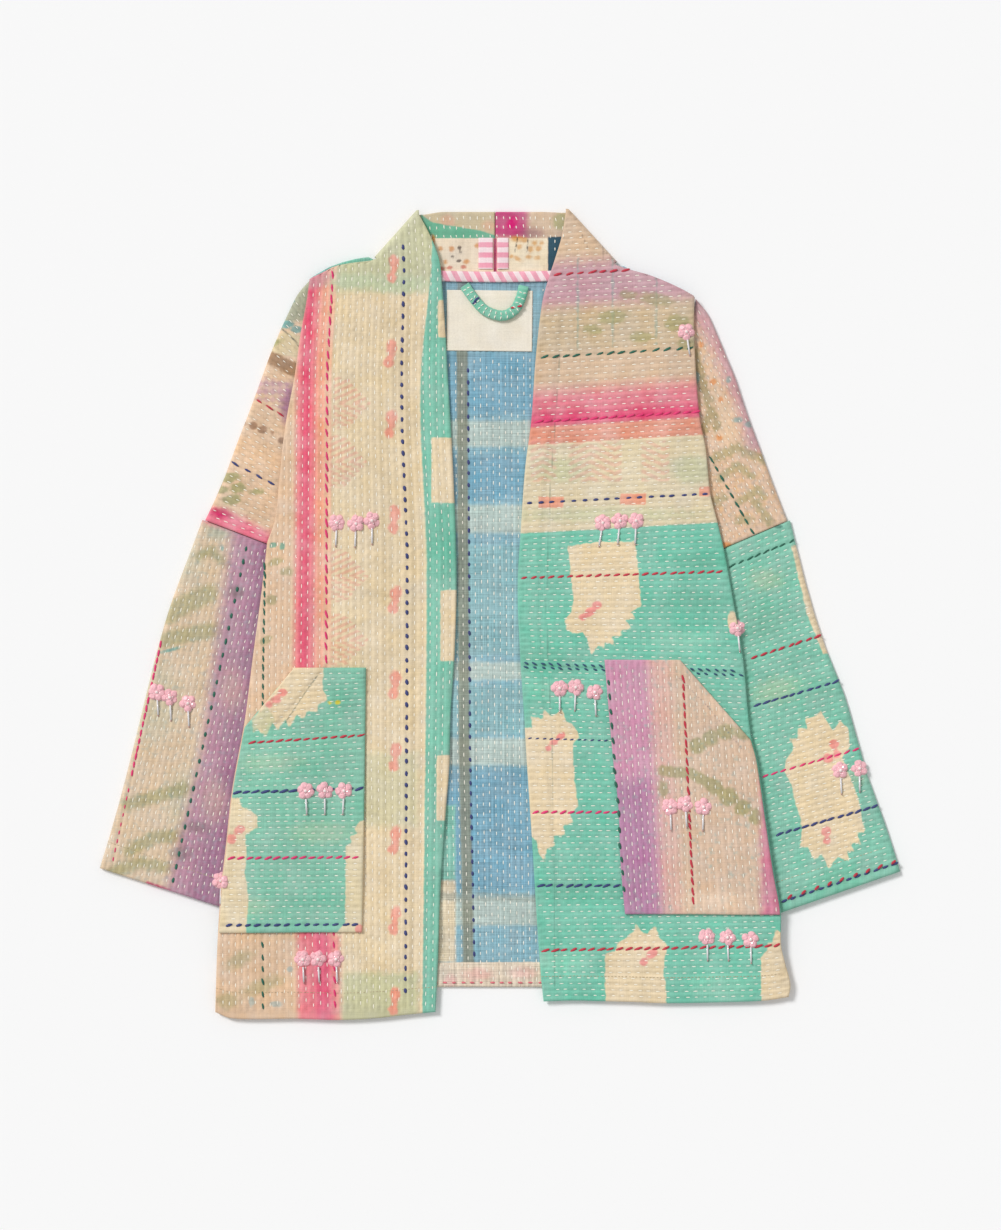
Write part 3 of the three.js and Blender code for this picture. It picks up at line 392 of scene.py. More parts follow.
def laid_tree(title, shape, smooth, **sizes):
    """Lays one small shape on every point, along the point's own direction."""
    tree = bpy.data.node_groups.new(title, "GeometryNodeTree")
    for socket, kind in [("Points", "Geometry"), ("Width", "Float"), ("Height", "Float"),
                         ("Finish", "Material")]:
        tree.interface.new_socket(socket, in_out="INPUT", socket_type="NodeSocket" + kind)
    tree.interface.new_socket("Laid", in_out="OUTPUT", socket_type="NodeSocketGeometry")
    node, link = tree.nodes.new, tree.links.new
    given, result = node("NodeGroupInput"), node("NodeGroupOutput")
    piece = node(shape)
    for socket, value in sizes.items():
        piece.inputs[socket.replace("_", " ")].default_value = value
    along, length = node("GeometryNodeInputNamedAttribute"), node("GeometryNodeInputNamedAttribute")
    along.data_type = "FLOAT_VECTOR"
    along.inputs["Name"].default_value = "along"
    length.inputs["Name"].default_value = "length"
    turn, size = node("FunctionNodeAxesToRotation"), node("ShaderNodeCombineXYZ")
    place = node("GeometryNodeInstanceOnPoints")
    turn.primary_axis, turn.secondary_axis = "Z", "X"
    turn.inputs["Secondary Axis"].default_value = (0.01, 0.02, 1)
    real, shade, paint = (node(n) for n in (
        "GeometryNodeRealizeInstances", "GeometryNodeSetShadeSmooth", "GeometryNodeSetMaterial"))
    shade.inputs["Shade Smooth"].default_value = smooth
    link(given.outputs["Points"], place.inputs["Points"])
    link(piece.outputs["Mesh"], place.inputs["Instance"])
    link(along.outputs["Attribute"], turn.inputs["Primary Axis"])
    link(turn.outputs["Rotation"], place.inputs["Rotation"])
    link(given.outputs["Height"], size.inputs["X"])
    link(given.outputs["Width"], size.inputs["Y"])
    link(length.outputs["Attribute"], size.inputs["Z"])
    link(size.outputs["Vector"], place.inputs["Scale"])
    link(place.outputs["Instances"], real.inputs["Geometry"])
    link(real.outputs["Geometry"], shade.inputs["Geometry"])
    link(shade.outputs["Geometry"], paint.inputs["Geometry"])
    link(given.outputs["Finish"], paint.inputs["Material"])
    link(paint.outputs["Geometry"], result.inputs["Laid"])
    return tree


running_stitch = laid_tree("running_stitch", "GeometryNodeMeshUVSphere", True, Segments=5, Rings=4,
                           Radius=0.5)


def points_object(name, found, sign=1):
    """Loose points with a direction, a length and a tone each, in metres."""
    mesh = bpy.data.meshes.new(name)
    mesh.from_pydata((found[:, :3] * [sign * MM, MM, MM]).tolist(), [], [])
    values = {"along": found[:, 3:6] * [sign, 1, 1], "length": found[:, 6] * MM, "tone": found[:, 7]}
    for title, value in values.items():
        kind, field = ("FLOAT_VECTOR", "vector") if value.ndim == 2 else ("FLOAT", "value")
        mesh.attributes.new(title, kind, "POINT").data.foreach_set(field, value.astype(np.float32).ravel())
    made = bpy.data.objects.new(name, mesh)
    bpy.context.scene.collection.objects.link(made)
    return made


def grow(made, tree, values):
    """Runs a Geometry Nodes tree on an object and keeps what comes out as its plain mesh."""
    modifier = made.modifiers.new(tree.name, "NODES")
    modifier.node_group = tree
    for item in tree.interface.items_tree:
        if item.in_out == "INPUT" and item.name in values:
            modifier[item.identifier] = values[item.name]
    graph = bpy.context.evaluated_depsgraph_get()
    mesh = bpy.data.meshes.new_from_object(made.evaluated_get(graph), preserve_all_data_layers=True,
                                           depsgraph=graph)
    made.modifiers.clear()
    made.data = mesh
    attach(made, "root")
    return made


def sewn(name, found, finish, sign=1, width=1.1, height=0.75, tree=None):
    return grow(points_object(name, found, sign), tree or running_stitch,
                {"Width": width * MM, "Height": height * MM, "Finish": finish})


def linear(*rgb):
    """A colour as seen on screen, 0 to 255, as Blender's own values."""
    share = [c / 255 for c in rgb]
    return tuple(c / 12.92 if c < 0.04045 else ((c + 0.055) / 1.055) ** 2.4 for c in share) + (1.0,)


def cloth_material(title, base, layers=(), streaks=1.0, roughness=0.88):
    """Woven cotton: `base` with each layer's colour laid where its attribute is above nought. A layer is
    (colour, attribute, softness, raggedness, strength), with both sizes in millimetres."""
    cloth = bpy.data.materials.new(title)
    cloth.use_nodes = True
    node, link = cloth.node_tree.nodes.new, cloth.node_tree.links.new
    shader = cloth.node_tree.nodes["Principled BSDF"]
    place = node("ShaderNodeTexCoord").outputs["Object"]

    def cloud(size, detail, seed):
        scaled, noise = node("ShaderNodeVectorMath"), node("ShaderNodeTexNoise")
        scaled.operation = "DIVIDE"
        scaled.inputs[1].default_value = [length * MM for length in size]
        noise.noise_dimensions = "4D"
        noise.inputs["W"].default_value = seed
        noise.inputs["Scale"].default_value = 1
        noise.inputs["Detail"].default_value = detail
        link(place, scaled.inputs[0])
        link(scaled.outputs[0], noise.inputs["Vector"])
        return noise.outputs["Fac"]

    def plus(value, times, rest):
        added = node("ShaderNodeMath")
        added.operation = "MULTIPLY_ADD"
        link(value, added.inputs[0])
        added.inputs[1].default_value = times
        if isinstance(rest, float):
            added.inputs[2].default_value = rest
        else:
            link(rest, added.inputs[2])
        return added.outputs[0]

    edges = [cloud((5, 5, 5), 3, seed) for seed in (1, 7, 8)]
    first = node("ShaderNodeRGB")
    first.outputs[0].default_value = linear(*base)
    colour = first.outputs[0]
    for number, (tint, attribute, soft, ragged, strength) in enumerate(layers):
        read, share, laid = node("ShaderNodeAttribute"), node("ShaderNodeMapRange"), node("ShaderNodeMix")
        read.attribute_name = attribute
        share.interpolation_type = "SMOOTHSTEP"
        share.inputs["From Min"].default_value = 2 * ragged - soft
        share.inputs["From Max"].default_value = 2 * ragged + soft
        share.inputs["To Max"].default_value = strength
        link(plus(edges[number % 3], 4 * ragged, read.outputs["Fac"]), share.inputs["Value"])
        laid.data_type = "RGBA"
        laid.inputs[7].default_value = linear(*tint)
        link(share.outputs["Result"], laid.inputs[0])
        link(colour, laid.inputs[6])
        colour = laid.outputs[2]
    fine = cloud((1.2, 1.2, 1.2), 2, 2)
    light = plus(fine, 0.24, 1.0 - 0.12 - 0.3 * streaks - 0.16)
    light = plus(cloud((0.8, 40, 9), 2, 3), 0.3 * streaks, light)
    light = plus(cloud((40, 0.8, 9), 2, 4), 0.3 * streaks, light)
    light = plus(cloud((24, 24, 24), 4, 5), 0.32, light)
    # Painted shade: the quilting's relief, the third value of the cut attribute, darkens the colour in the
    # valleys by the stitches and lightens it on the ridges between them.
    quilted, height = node("ShaderNodeAttribute"), node("ShaderNodeSeparateXYZ")
    quilted.attribute_name = "cut"
    link(quilted.outputs["Vector"], height.inputs[0])
    light = plus(height.outputs["Z"], 0.15, light)
    # Its value is random speckle, streaks and mottling together with the painted shade from the relief above;
    # its saturation fades the cloth at random from place to place.
    toned = node("ShaderNodeHueSaturation")
    link(light, toned.inputs["Value"])
    link(plus(cloud((17, 17, 17), 3, 6), 0.7, 0.65), toned.inputs["Saturation"])
    link(colour, toned.inputs["Color"])
    link(toned.outputs["Color"], shader.inputs["Base Color"])
    weave = node("ShaderNodeBump")
    weave.inputs["Strength"].default_value = 0.4
    weave.inputs["Distance"].default_value = 0.3 * MM
    link(fine, weave.inputs["Height"])
    link(weave.outputs["Normal"], shader.inputs["Normal"])
    shader.inputs["Roughness"].default_value = roughness
    shader.inputs["Sheen Weight"].default_value = 0.15
    shader.inputs["Specular IOR Level"].default_value = 0.2
    return cloth


PIXEL = PIXEL_MM * MM


def places(made):
    """Where each point of a piece lies, in the picture's pixels to the right and down, and where it is on the
    straightened cloth, in millimetres."""
    spot, cut = (np.empty(len(made.data.vertices) * 3, np.float32) for _ in range(2))
    made.data.vertices.foreach_get("co", spot)
    made.data.attributes["cut"].data.foreach_get("vector", cut)
    spot, cut = spot.reshape(-1, 3) / PIXEL, cut.reshape(-1, 3)
    return np.array([spot[:, 0] + MIDDLE_X, MIDDLE_Y - spot[:, 1]]), cut[:, 0], cut[:, 1]


def strip(value, low, high):
    return np.minimum(value - low, high - value)


def block(at, left_side, right_side, top, bottom):
    return np.minimum(strip(at[0], left_side, right_side), strip(at[1], top, bottom))


def oval(at, x, y, long, wide, turn=0):
    cos, sin = math.cos(math.radians(turn)), math.sin(math.radians(turn))
    along = ((at[0] - x) * cos + (at[1] - y) * sin) / long
    across = ((at[1] - y) * cos - (at[0] - x) * sin) / wide
    return (1 - np.hypot(along, across)) * min(long, wide)


def ovals(at, *each):
    return np.maximum.reduce([oval(at, *one) for one in each])


def patch(at, *corners):
    """How far inside a cut shape each point lies."""
    corners = np.array(corners, float)
    gap = gap_to(corners, np.roll(corners, -1, 0), at.T)[0]
    return np.where(inside(corners, at.T), gap, -gap)


def stroke(at, width, *corners):
    corners = np.array(corners, float)
    return width / 2 - gap_to(corners[:-1], corners[1:], at.T)[0]


def dye(made, title, base, layers, streaks=1.0):
    """Gives a piece its cloth. A layer is (colour, how far inside it each point lies), and may add its
    softness, raggedness and strength."""
    listed = []
    for number, (tint, depth, *rest) in enumerate(layers):
        name = f"dye_{number}"
        values = np.clip(depth, -30, 30).astype(np.float32)
        made.data.attributes.new(name, "FLOAT", "POINT").data.foreach_set("value", values)
        soft, ragged, strength = list(rest) + [0.8, 0.7, 1.0][len(rest):]
        listed.append((tint, name, soft, ragged, strength))
    made.data.materials.append(cloth_material(title, base, listed, streaks))


def mottled(title, rgb, scale, spread, roughness):
    """A material whose colour is a little lighter or darker from place to place, and its shader."""
    made = bpy.data.materials.new(title)
    made.use_nodes = True
    node, link = made.node_tree.nodes.new, made.node_tree.links.new
    shader = made.node_tree.nodes["Principled BSDF"]
    toned, noise, scaled = (node(n) for n in ("ShaderNodeHueSaturation", "ShaderNodeTexNoise",
                                             "ShaderNodeMapRange"))
    noise.inputs["Scale"].default_value = scale
    scaled.inputs["To Min"].default_value = 1 - spread
    scaled.inputs["To Max"].default_value = 1 + spread
    toned.inputs["Color"].default_value = linear(*rgb)
    link(node("ShaderNodeTexCoord").outputs["Object"], noise.inputs["Vector"])
    link(noise.outputs["Fac"], scaled.inputs["Value"])
    link(scaled.outputs["Result"], toned.inputs["Value"])
    link(toned.outputs["Color"], shader.inputs["Base Color"])
    shader.inputs["Roughness"].default_value = roughness
    return made, shader


def thread(title, *rgb):
    made, shader = mottled(title, rgb, 300, 0.2, 0.6)
    shader.inputs["Sheen Weight"].default_value = 0.3
    return made


def strands(line, pitch, length, turn, seed, keep=None):
    """Thick slanted stitches along a line of points."""
    draw = np.random.default_rng(seed)
    along = np.concatenate([[0], np.cumsum(np.linalg.norm(np.diff(line, axis=0), axis=1))])
    middles = np.arange(pitch / 2, along[-1], pitch)
    middles = middles + draw.normal(0, 0.05 * pitch, len(middles))
    low, here, high = (np.stack([np.interp(middles + step, along, line[:, k]) for k in range(3)], 1)
                       for step in (-1, 0, 1))
    span = high - low
    angle = np.radians(turn + draw.normal(0, 3.5, len(middles)))
    heading = np.stack([span[:, 0] * np.cos(angle) - span[:, 1] * np.sin(angle),
                        span[:, 0] * np.sin(angle) + span[:, 1] * np.cos(angle), span[:, 2] * 0.6], 1)
    heading /= np.linalg.norm(heading, axis=1)[:, None]
    here[:, 2] += 0.35
    lengths = length * draw.uniform(0.86, 1.12, len(middles))
    found = np.column_stack([here, heading, lengths, draw.random(len(middles))])
    return found if keep is None else found[keep(found[:, 0], found[:, 1])]


def down(y):
    """A height on the jacket from a row of the picture."""
    return (MIDDLE_Y - y) * PIXEL_MM


CREAM, TEAL, OLIVE = (230, 210, 176), (134, 195, 173), (158, 157, 110)
white_thread = thread("white_cotton_thread", 252, 247, 232)
hot_pink_thread = thread("hot_pink_thread", 224, 44, 112)
navy_thread = thread("navy_thread", 48, 58, 118)
red_thread = thread("dark_red_thread", 194, 38, 62)
green_thread = thread("dark_green_thread", 24, 98, 78)

back_shoulder = smooth_table([(-173.6, 309), (-158, 318.4), (-143.4, 323.8), (-130, 327.2), (-116.6, 328.4),
                              (-112.4, 324.9), (-100, 319.2), (-88, 315), (-75, 312.2), (-60, 310.8),
                              (-32, 310),
                              (0, 309.6), (24, 309.9), (52, 310.4), (68, 311.2), (82, 313), (94, 316.6),
                              (104.8, 320.8), (109.4, 322.6), (122, 314.6), (137, 310), (152, 304.6),
                              (176, 292)])


def half(x):
    """Both sides' functions at once: the height or edge of whichever side x is on."""
    return lambda name, *rest: np.where(x < 0, getattr(right, name)(*rest), getattr(left, name)(*rest))


def back_panel():
    fine = through([-79.8, 79.8])
    columns = np.concatenate([np.arange(-277, -85, 12), fine, np.arange(90, 280, 12)])
    top_y, top_run = 288.0, 42.0
    levels = np.concatenate([np.arange(BACK_HEM_Y, top_y, STITCH_PITCH / 4),
                             np.linspace(top_y, top_y + top_run, 20)])

    def y_of(x, level):
        up = np.clip((level - top_y) / top_run, 0, 1)
        lean = 0.7 * np.sin(x / 60) * ease((level + 340) / 40)
        return np.where(level > top_y, mix(top_y, back_shoulder(x), up), level + lean * (level < top_y - 30))

    def lean(x, y):
        return x + np.interp(y, [-342, -130, 250, 310], [5.5, 1.0, -1.0, 0.0]) * ease(1.8 - np.abs(x) / 60)

    plan, first, last = lattice(
        columns, levels, lean, y_of,
        lambda y: -right.outer_edge(np.minimum(y, right.tip[0])) + BACK_INSET,
        lambda y: left.outer_edge(np.minimum(y, left.tip[0])) - BACK_INSET)
    x, y = plan[..., 0], plan[..., 1]
    side = half(x)
    top = side("back_top", np.abs(x), y)
    open_here = ease((side("front_edge", y) + 5 - np.abs(x)) / 8) * ease((308 - y) / 6)
    under_label = ease((52 - np.abs(x + 9.6)) / 8) * ease((y - 234) / 8)
    draw = np.random.default_rng(11)
    start = np.searchsorted(columns, fine[0])
    phases = draw.uniform(0, STITCH_PITCH, len(fine) // 3 + 1)
    relief = np.zeros_like(top)
    span = slice(start, start + len(fine))
    strength = np.where(under_label > 0.01, 0.55, 0.9)[:, span]
    relief[:, span] = quilting(levels, len(fine), phases, 5) * strength
    swell = 0.3 * waves(x, y, 60, 8) * (1 - under_label)
    hem_line = 0.35 * np.exp(-((y - BACK_HEM_Y - BACK_HEM) / 1.6) ** 2)
    relief = (relief + np.maximum(swell, -0.25) - hem_line) * open_here * ease((y - BACK_HEM_Y) / 3)
    height = top + relief
    cut = np.dstack([*np.meshgrid(columns, levels), relief])

    def under(points, inset, radius):
        return half(points[:, 0])("lift", np.abs(points[:, 0]), points[:, 1])

    closed = shell(plan.reshape(-1, 2), height.ravel(), panel_faces(first, last, len(columns)), under,
                   cut.reshape(-1, 3))
    points = np.dstack([plan, height])[:, span]
    bare = (open_here > 0.9) & ~((under_label > 0.5) & (y < 300)) & (y > BACK_HEM_Y + 3) & (y < 302)
    row = np.argmin(np.abs(fine + 28))
    navy_row = points[(levels > -318) & (levels < 234), row]
    bare[:, start + row] = False
    found = stitches_in(points, bare[:, span], levels, phases, draw)
    hem_row = points[np.argmin(np.abs(levels - BACK_HEM_Y - 4)), 6:-6]
    return cloth_object("back_panel", [closed]), found, navy_row, hem_row


back, back_rows, back_navy_row, back_hem_row = back_panel()
at, u, v = places(back)
pale_bands = np.maximum.reduce([strip(at[1], *band) for band in [
    (421, 447), (505, 533), (662, 680), (738, 765), (897, 925)]])
dye(back, "back_blue_check", (142, 180, 192), [
    ((122, 166, 188), np.maximum.reduce([strip(at[1], *b) for b in [(352, 415), (455, 500), (770, 890)]]), 6,
     2, 0.7),
    ((190, 202, 192), pale_bands, 2.5, 1.2, 0.8),
    ((150, 190, 188), np.maximum(strip(at[1], 545, 655), strip(at[1], 685, 735)), 5, 3, 0.5),
    ((138, 140, 122), strip(u, -39, -29), 1.2, 0.6, 0.85),
    ((140, 196, 176), block(at, 437, 455, 805, 880), 2, 1, 0.9),
    ((226, 208, 178), block(at, 437, 455, 880, 962), 2, 1, 0.9),
    ((228, 208, 184), strip(v, -343, -319.5), 0.6, 0.3, 0.9),
    ((232, 158, 160), ovals(at, (478, 974, 14, 6), (522, 972, 12, 5), (450, 980, 6, 6)), 4, 2, 0.4),
    ((150, 160, 150), block(at, 430, 560, 893, 901), 1.5, 2.5, 0.5),
    (TEAL, block(at, 310, 405, 230, 300), 2, 1, 1),
    ((120, 150, 170), strip(at[1], 268, 290), 4, 1, 0.4),
], streaks=3.6)
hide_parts("back")
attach(back, "root")
sewn("back_stitches", back_rows, white_thread)
sewn("back_navy_stitches", strands(back_navy_row, 10.6, 4.6, 8, 31), navy_thread, width=2.8, height=1.3)
sewn("back_hem_stitches", strands(back_hem_row, 9.4, 4.6, 0, 32), thread("salmon_thread", 226, 112, 124),
     width=1.9, height=0.9)

# Fronts, each with its half of the collar
# Quilted panels cut in one with the collar, which rolls over the neck and lies on the table face up.
# The right one is quilted up and down and the left one across; their front edges and hems are turned.
COLLAR_TOP_Y = 370.2
COLLAR_FACING = 0.37
SWELL = 0.35
COLLAR_SHIFT = 1000


def bend_over(inset, radius):
    """How far a folded edge has dropped from the cloth's top."""
    return radius * (1 - np.sqrt(1 - np.clip(1 - inset / radius, 0, 1) ** 2))


def swell_of(out, y, seed):
    return SWELL * (waves(out, y, 42, seed) + waves(out, y, 120, seed + 1)) / 1.6


def upper_fold(flat):
    """The inside of cloth that ends in a fold, above the middle of the bend."""
    def under(points, inset, radius):
        bent = radius + np.sqrt(np.maximum((radius - CLOTH) ** 2 - np.maximum(radius - inset, 0) ** 2, 0))
        return np.where(inset < radius, np.minimum(bent, flat(points)), flat(points))
    return under


def lower_fold(points, inset, radius):
    """The outside of cloth below the middle of the bend: it curves down to the table."""
    return radius - np.sqrt(np.maximum(radius ** 2 - np.maximum(radius - inset, 0) ** 2, 0))


def collar_half(side, neck_seam):
    """The half of the collar that lies inside up on the table, from the roll line to the centre back seam."""
    seam = smooth_table(neck_seam)
    centre = neck_seam[0][0]
    neck_y, neck_out = side.neck
    corner_y, corner_out = side.corner
    along = np.array([neck_out - corner_out, neck_y - corner_y])
    along = along / math.hypot(*along)
    normal = np.array([-along[1], along[0]])
    shares = np.linspace(0, 1, 30)
    insets = np.array([0, 0.6, 1.4, 2.6, 4.4])
    reaches = np.linspace(0.012, 1, 46)
    plan, inset_at, radius_at, share_at = [], [], [], []
    for share in shares:
        roll = np.array([mix(corner_out, neck_out, share), mix(corner_y, neck_y, share)])
        radius = float(side.front_top(roll[0], roll[1])) / 2
        beside = roll + normal * (radius - np.minimum(insets, radius))[:, None]
        top_out = mix(corner_out, centre, reaches)
        top_y = mix(corner_y, COLLAR_TOP_Y, ease(3 * reaches))
        seam_out = mix(neck_out, centre, reaches)
        inner = np.stack([mix(top_out, seam_out, share), mix(top_y, seam(seam_out), share)], 1)
        plan.append(np.concatenate([beside, inner])[::-1])
        inset_at.append(np.concatenate([np.minimum(insets, radius), np.full(len(reaches), FAR_INSIDE)])[::-1])
        radius_at.append(np.full(len(insets) + len(reaches), radius))
        share_at.append(np.full(len(insets) + len(reaches), share))
    plan, inset_at, radius_at, share_at = (np.array(a)[::-1] for a in (plan, inset_at, radius_at, share_at))
    flat_top = CLOTH + HEM_RISE * ease((COLLAR_FACING - share_at) / 0.05)
    bent = radius_at - np.sqrt(np.maximum((radius_at - CLOTH) ** 2 - np.maximum(radius_at - inset_at, 0) ** 2,
                                          0))
    height = np.where(inset_at < radius_at, np.minimum(bent, radius_at - 0.05), flat_top)
    relief = 0.16 * waves(plan[..., 0], plan[..., 1], 9, 3) + 0.1 * waves(plan[..., 0], plan[..., 1], 30, 4)
    height = height + np.clip(relief, -0.2, 0.3) * (inset_at == FAR_INSIDE)
    count = plan.shape[1]
    whole = (np.zeros(len(plan), int), np.full(len(plan), count - 1))
    flat_plan = plan.reshape(-1, 2)
    folded = np.zeros(plan.shape[:2], bool)
    folded[:, -1] = True
    cut = np.column_stack([flat_plan + [0, COLLAR_SHIFT], relief.ravel()])
    return shell(flat_plan, height.ravel(), panel_faces(*whole, count), lower_fold, cut,
                 folded.ravel(), radius_at.ravel(), rings=(1.2, 2.4, 4.4))


def front_panel(side, columns, levels, out_of, y_of, rows_up, seed, keep, coloured):
    """The flat of a front, up to the fold where the collar rolls over. Returns its shell, stitches and
    points."""
    neck_y, neck_out = side.neck
    corner_y, corner_out = side.corner
    run = math.hypot(neck_out - corner_out, corner_y - neck_y)
    along = np.array([corner_out - neck_out, corner_y - neck_y]) / run
    normal = np.array([along[1], -along[0]])

    def rolled(out, y):
        """Distance inside the folded edge, and the fold's radius."""
        share = ((out - neck_out) * along[0] + (y - neck_y) * along[1]) / run
        foot = np.clip(share, 0, 1)
        radius = side.front_top(mix(neck_out, corner_out, foot), mix(neck_y, corner_y, foot)) / 2
        beyond = (out - neck_out) * normal[0] + (y - neck_y) * normal[1]
        return radius - beyond, radius

    end_radius = float(rolled(neck_out, neck_y)[1])
    shift = (normal[0] - normal[1] * along[0] / along[1]) * end_radius

    def high(y):
        return side.outer_edge(y) + shift * ease((y - neck_y) / 3)

    plan, first, last = lattice(columns, levels, out_of, y_of, side.front_edge, high)
    out, y = plan[..., 0], plan[..., 1]
    inset, radius = rolled(out, y)
    rolls = ease((y - neck_y) / 3)
    top = side.front_top(out, y) - bend_over(inset, radius) * rolls
    draw = np.random.default_rng(seed)
    rows = columns if rows_up else levels
    phases = draw.uniform(0, STITCH_PITCH, len(rows) // 3 + 1)
    relief = quilting_on(columns, levels, rows_up, phases, seed)
    rim = ease((out - side.front_edge(y)) / 2.5) * ease((high(y) - out) / 2.5) * ease((y - side.hem_y) / 4)
    hem_line = 0.4 * np.exp(-((levels[:, None] - side.hem_y - FRONT_HEM) / 1.8) ** 2)
    edge_line = 0.4 * np.exp(-((out - side.front_edge(y) - 20) / 1.8) ** 2) * (y < neck_y - 20)
    swell = swell_of(out, y, side.sign + 40) * ease((side.outer_edge(y) - out) / 12)
    height = top + (relief - hem_line - edge_line) * rim + swell * rim
    cut = np.dstack([*np.meshgrid(columns, levels), relief * rim])
    used = np.arange(len(columns))[None, :] == last[:, None]
    folded = used & (y > neck_y + 2.5)
    closed = shell(plan.reshape(-1, 2), height.ravel(), panel_faces(first, last, len(columns)),
                   upper_fold(lambda p: side.front_under(p[:, 0], p[:, 1])), cut.reshape(-1, 3),
                   folded.ravel(), radius.ravel(), rings=(1.8, 4.4))
    points = np.dstack([plan, height])
    clear = (out > side.front_edge(y) + 2.2) & (out < high(y) - 2.2) & (y > side.hem_y + 3) & keep(out, y)
    clear &= ~np.isclose(columns if rows_up else levels[:, None], np.array(coloured)[:, None, None]).any(0)
    found = stitches_on(points, clear, columns, levels, rows_up, phases, draw)
    return closed, found, points


right_lines = [42, 90.3, 153, 210, 268]
right_shift_y = [-370, -180, -42, 60, 169, 227, 315, 372]
right_shift = np.array([(-3.4, -2, 7.5), (-4.2, 2.5, 8), (-4.8, 6.4, 7), (-5, 6, 5), (-0.6, 5.6, 4),
                        (0.2, 5.2, 3),
                        (-2.4, 0, 0), (0, -3, -3)])


def right_out(column, y):
    """Rows of the right front lean and bend: `column` is where they lie on the straightened cloth."""
    at = [np.interp(y, right_shift_y, right_shift[:, k]) for k in range(3)]
    near = mix(at[0], at[1], np.clip((column - 90.3) / 62.7, -0.3, 1))
    return column + np.where(column > 153, mix(at[1], at[2], np.clip((column - 153) / 57, 0, 1.2)), near)


left_lines = [-355.4, -306.8, -248.9, -181.7, -116.4, -50, 36.6, 80, 107, 162, 182, 241, 284, 316, 376]
left_tilt = [(-355, 0), (-306, 0.03), (-249, 0), (-182, 0), (-116, -0.03), (-50, -0.037), (0, 0), (36, 0.03),
             (78, 0.055), (107, 0.05), (182, 0.06), (240, 0.058), (300, 0.06), (370, 0.06)]


def left_y(out, level):
    """Rows of the left front tilt: `level` is where they cross the line 120 mm out."""
    tilt = np.interp(level, *zip(*left_tilt))
    bottom = ease(1 - (level - left.hem_y) / 70)
    return level + tilt * (out - 120) * (1 - bottom) + left.hem_drop(out) * bottom


def under_right_pocket(out, y):
    return (out > 131) & (y < -56) & (y > -284) & (out < 226 - ease((y + 103) / 53) * 40)


def under_left_pocket(out, y):
    return (out > 119) & (y < -48) & (y > -268) & (out < 222 - ease((y + 115) / 75) * 66)


right_neck_seam = [(4.6, 310), (32, 310.4), (60, 311.2), (75, 312.6), (88, 315.4), (100, 319.6), (112, 325.4)]
left_neck_seam = [(-4.2, 310), (24, 310.3), (52, 310.8), (68, 311.6), (82, 313.4), (94, 317), (104.4, 321.4)]

right_closed, right_rows, right_points = front_panel(
    right, through(right_lines), np.arange(right.hem_y, 373.5, STITCH_PITCH / 4), right_out, right.row_y,
    True, 21, lambda out, y: ~under_right_pocket(out, y), [153, 90.3, 210])
front_right = cloth_object("front_right_panel", [right_closed, collar_half(right, right_neck_seam)], -1)
at, u, v = places(front_right)
flap = np.where(v > 0.6 * COLLAR_SHIFT, 30.0, -30.0)
panel = -flap
collar_zone = np.minimum(strip(v, 296, 380), panel)
marks = np.maximum.reduce([
    ovals(np.array([u, at[1]]), (99, y - 7, 4.6, 7.5), (99.5, y + 1, 2.8, 6), (101, y + 8.5, 4.4, 5.5))
    for y in (270, 355, 425, 520, 600, 685, 757, 840, 920, 1000)])
chevrons, hatched = np.full(len(u), -9.0), np.full(len(u), -9.0)
for x, y in [(372, 404), (369, 462), (370, 576), (370, 640)]:
    spread = np.abs(at[1] - y)
    near = strip(at[0], x - 40, x - spread * 0.9)
    chevrons = np.where(near > 0, 2 * np.sin((spread - 0.45 * (at[0] - x)) * 2 * math.pi / 6.4), chevrons)
    hatched = np.maximum(hatched, np.minimum(near, 26 - spread))
teal_edge = np.minimum(np.interp(v, [-370, 200, 252, 289, 308, 345], [75, 75, 72, 68.5, 67, 63]) - u, panel)
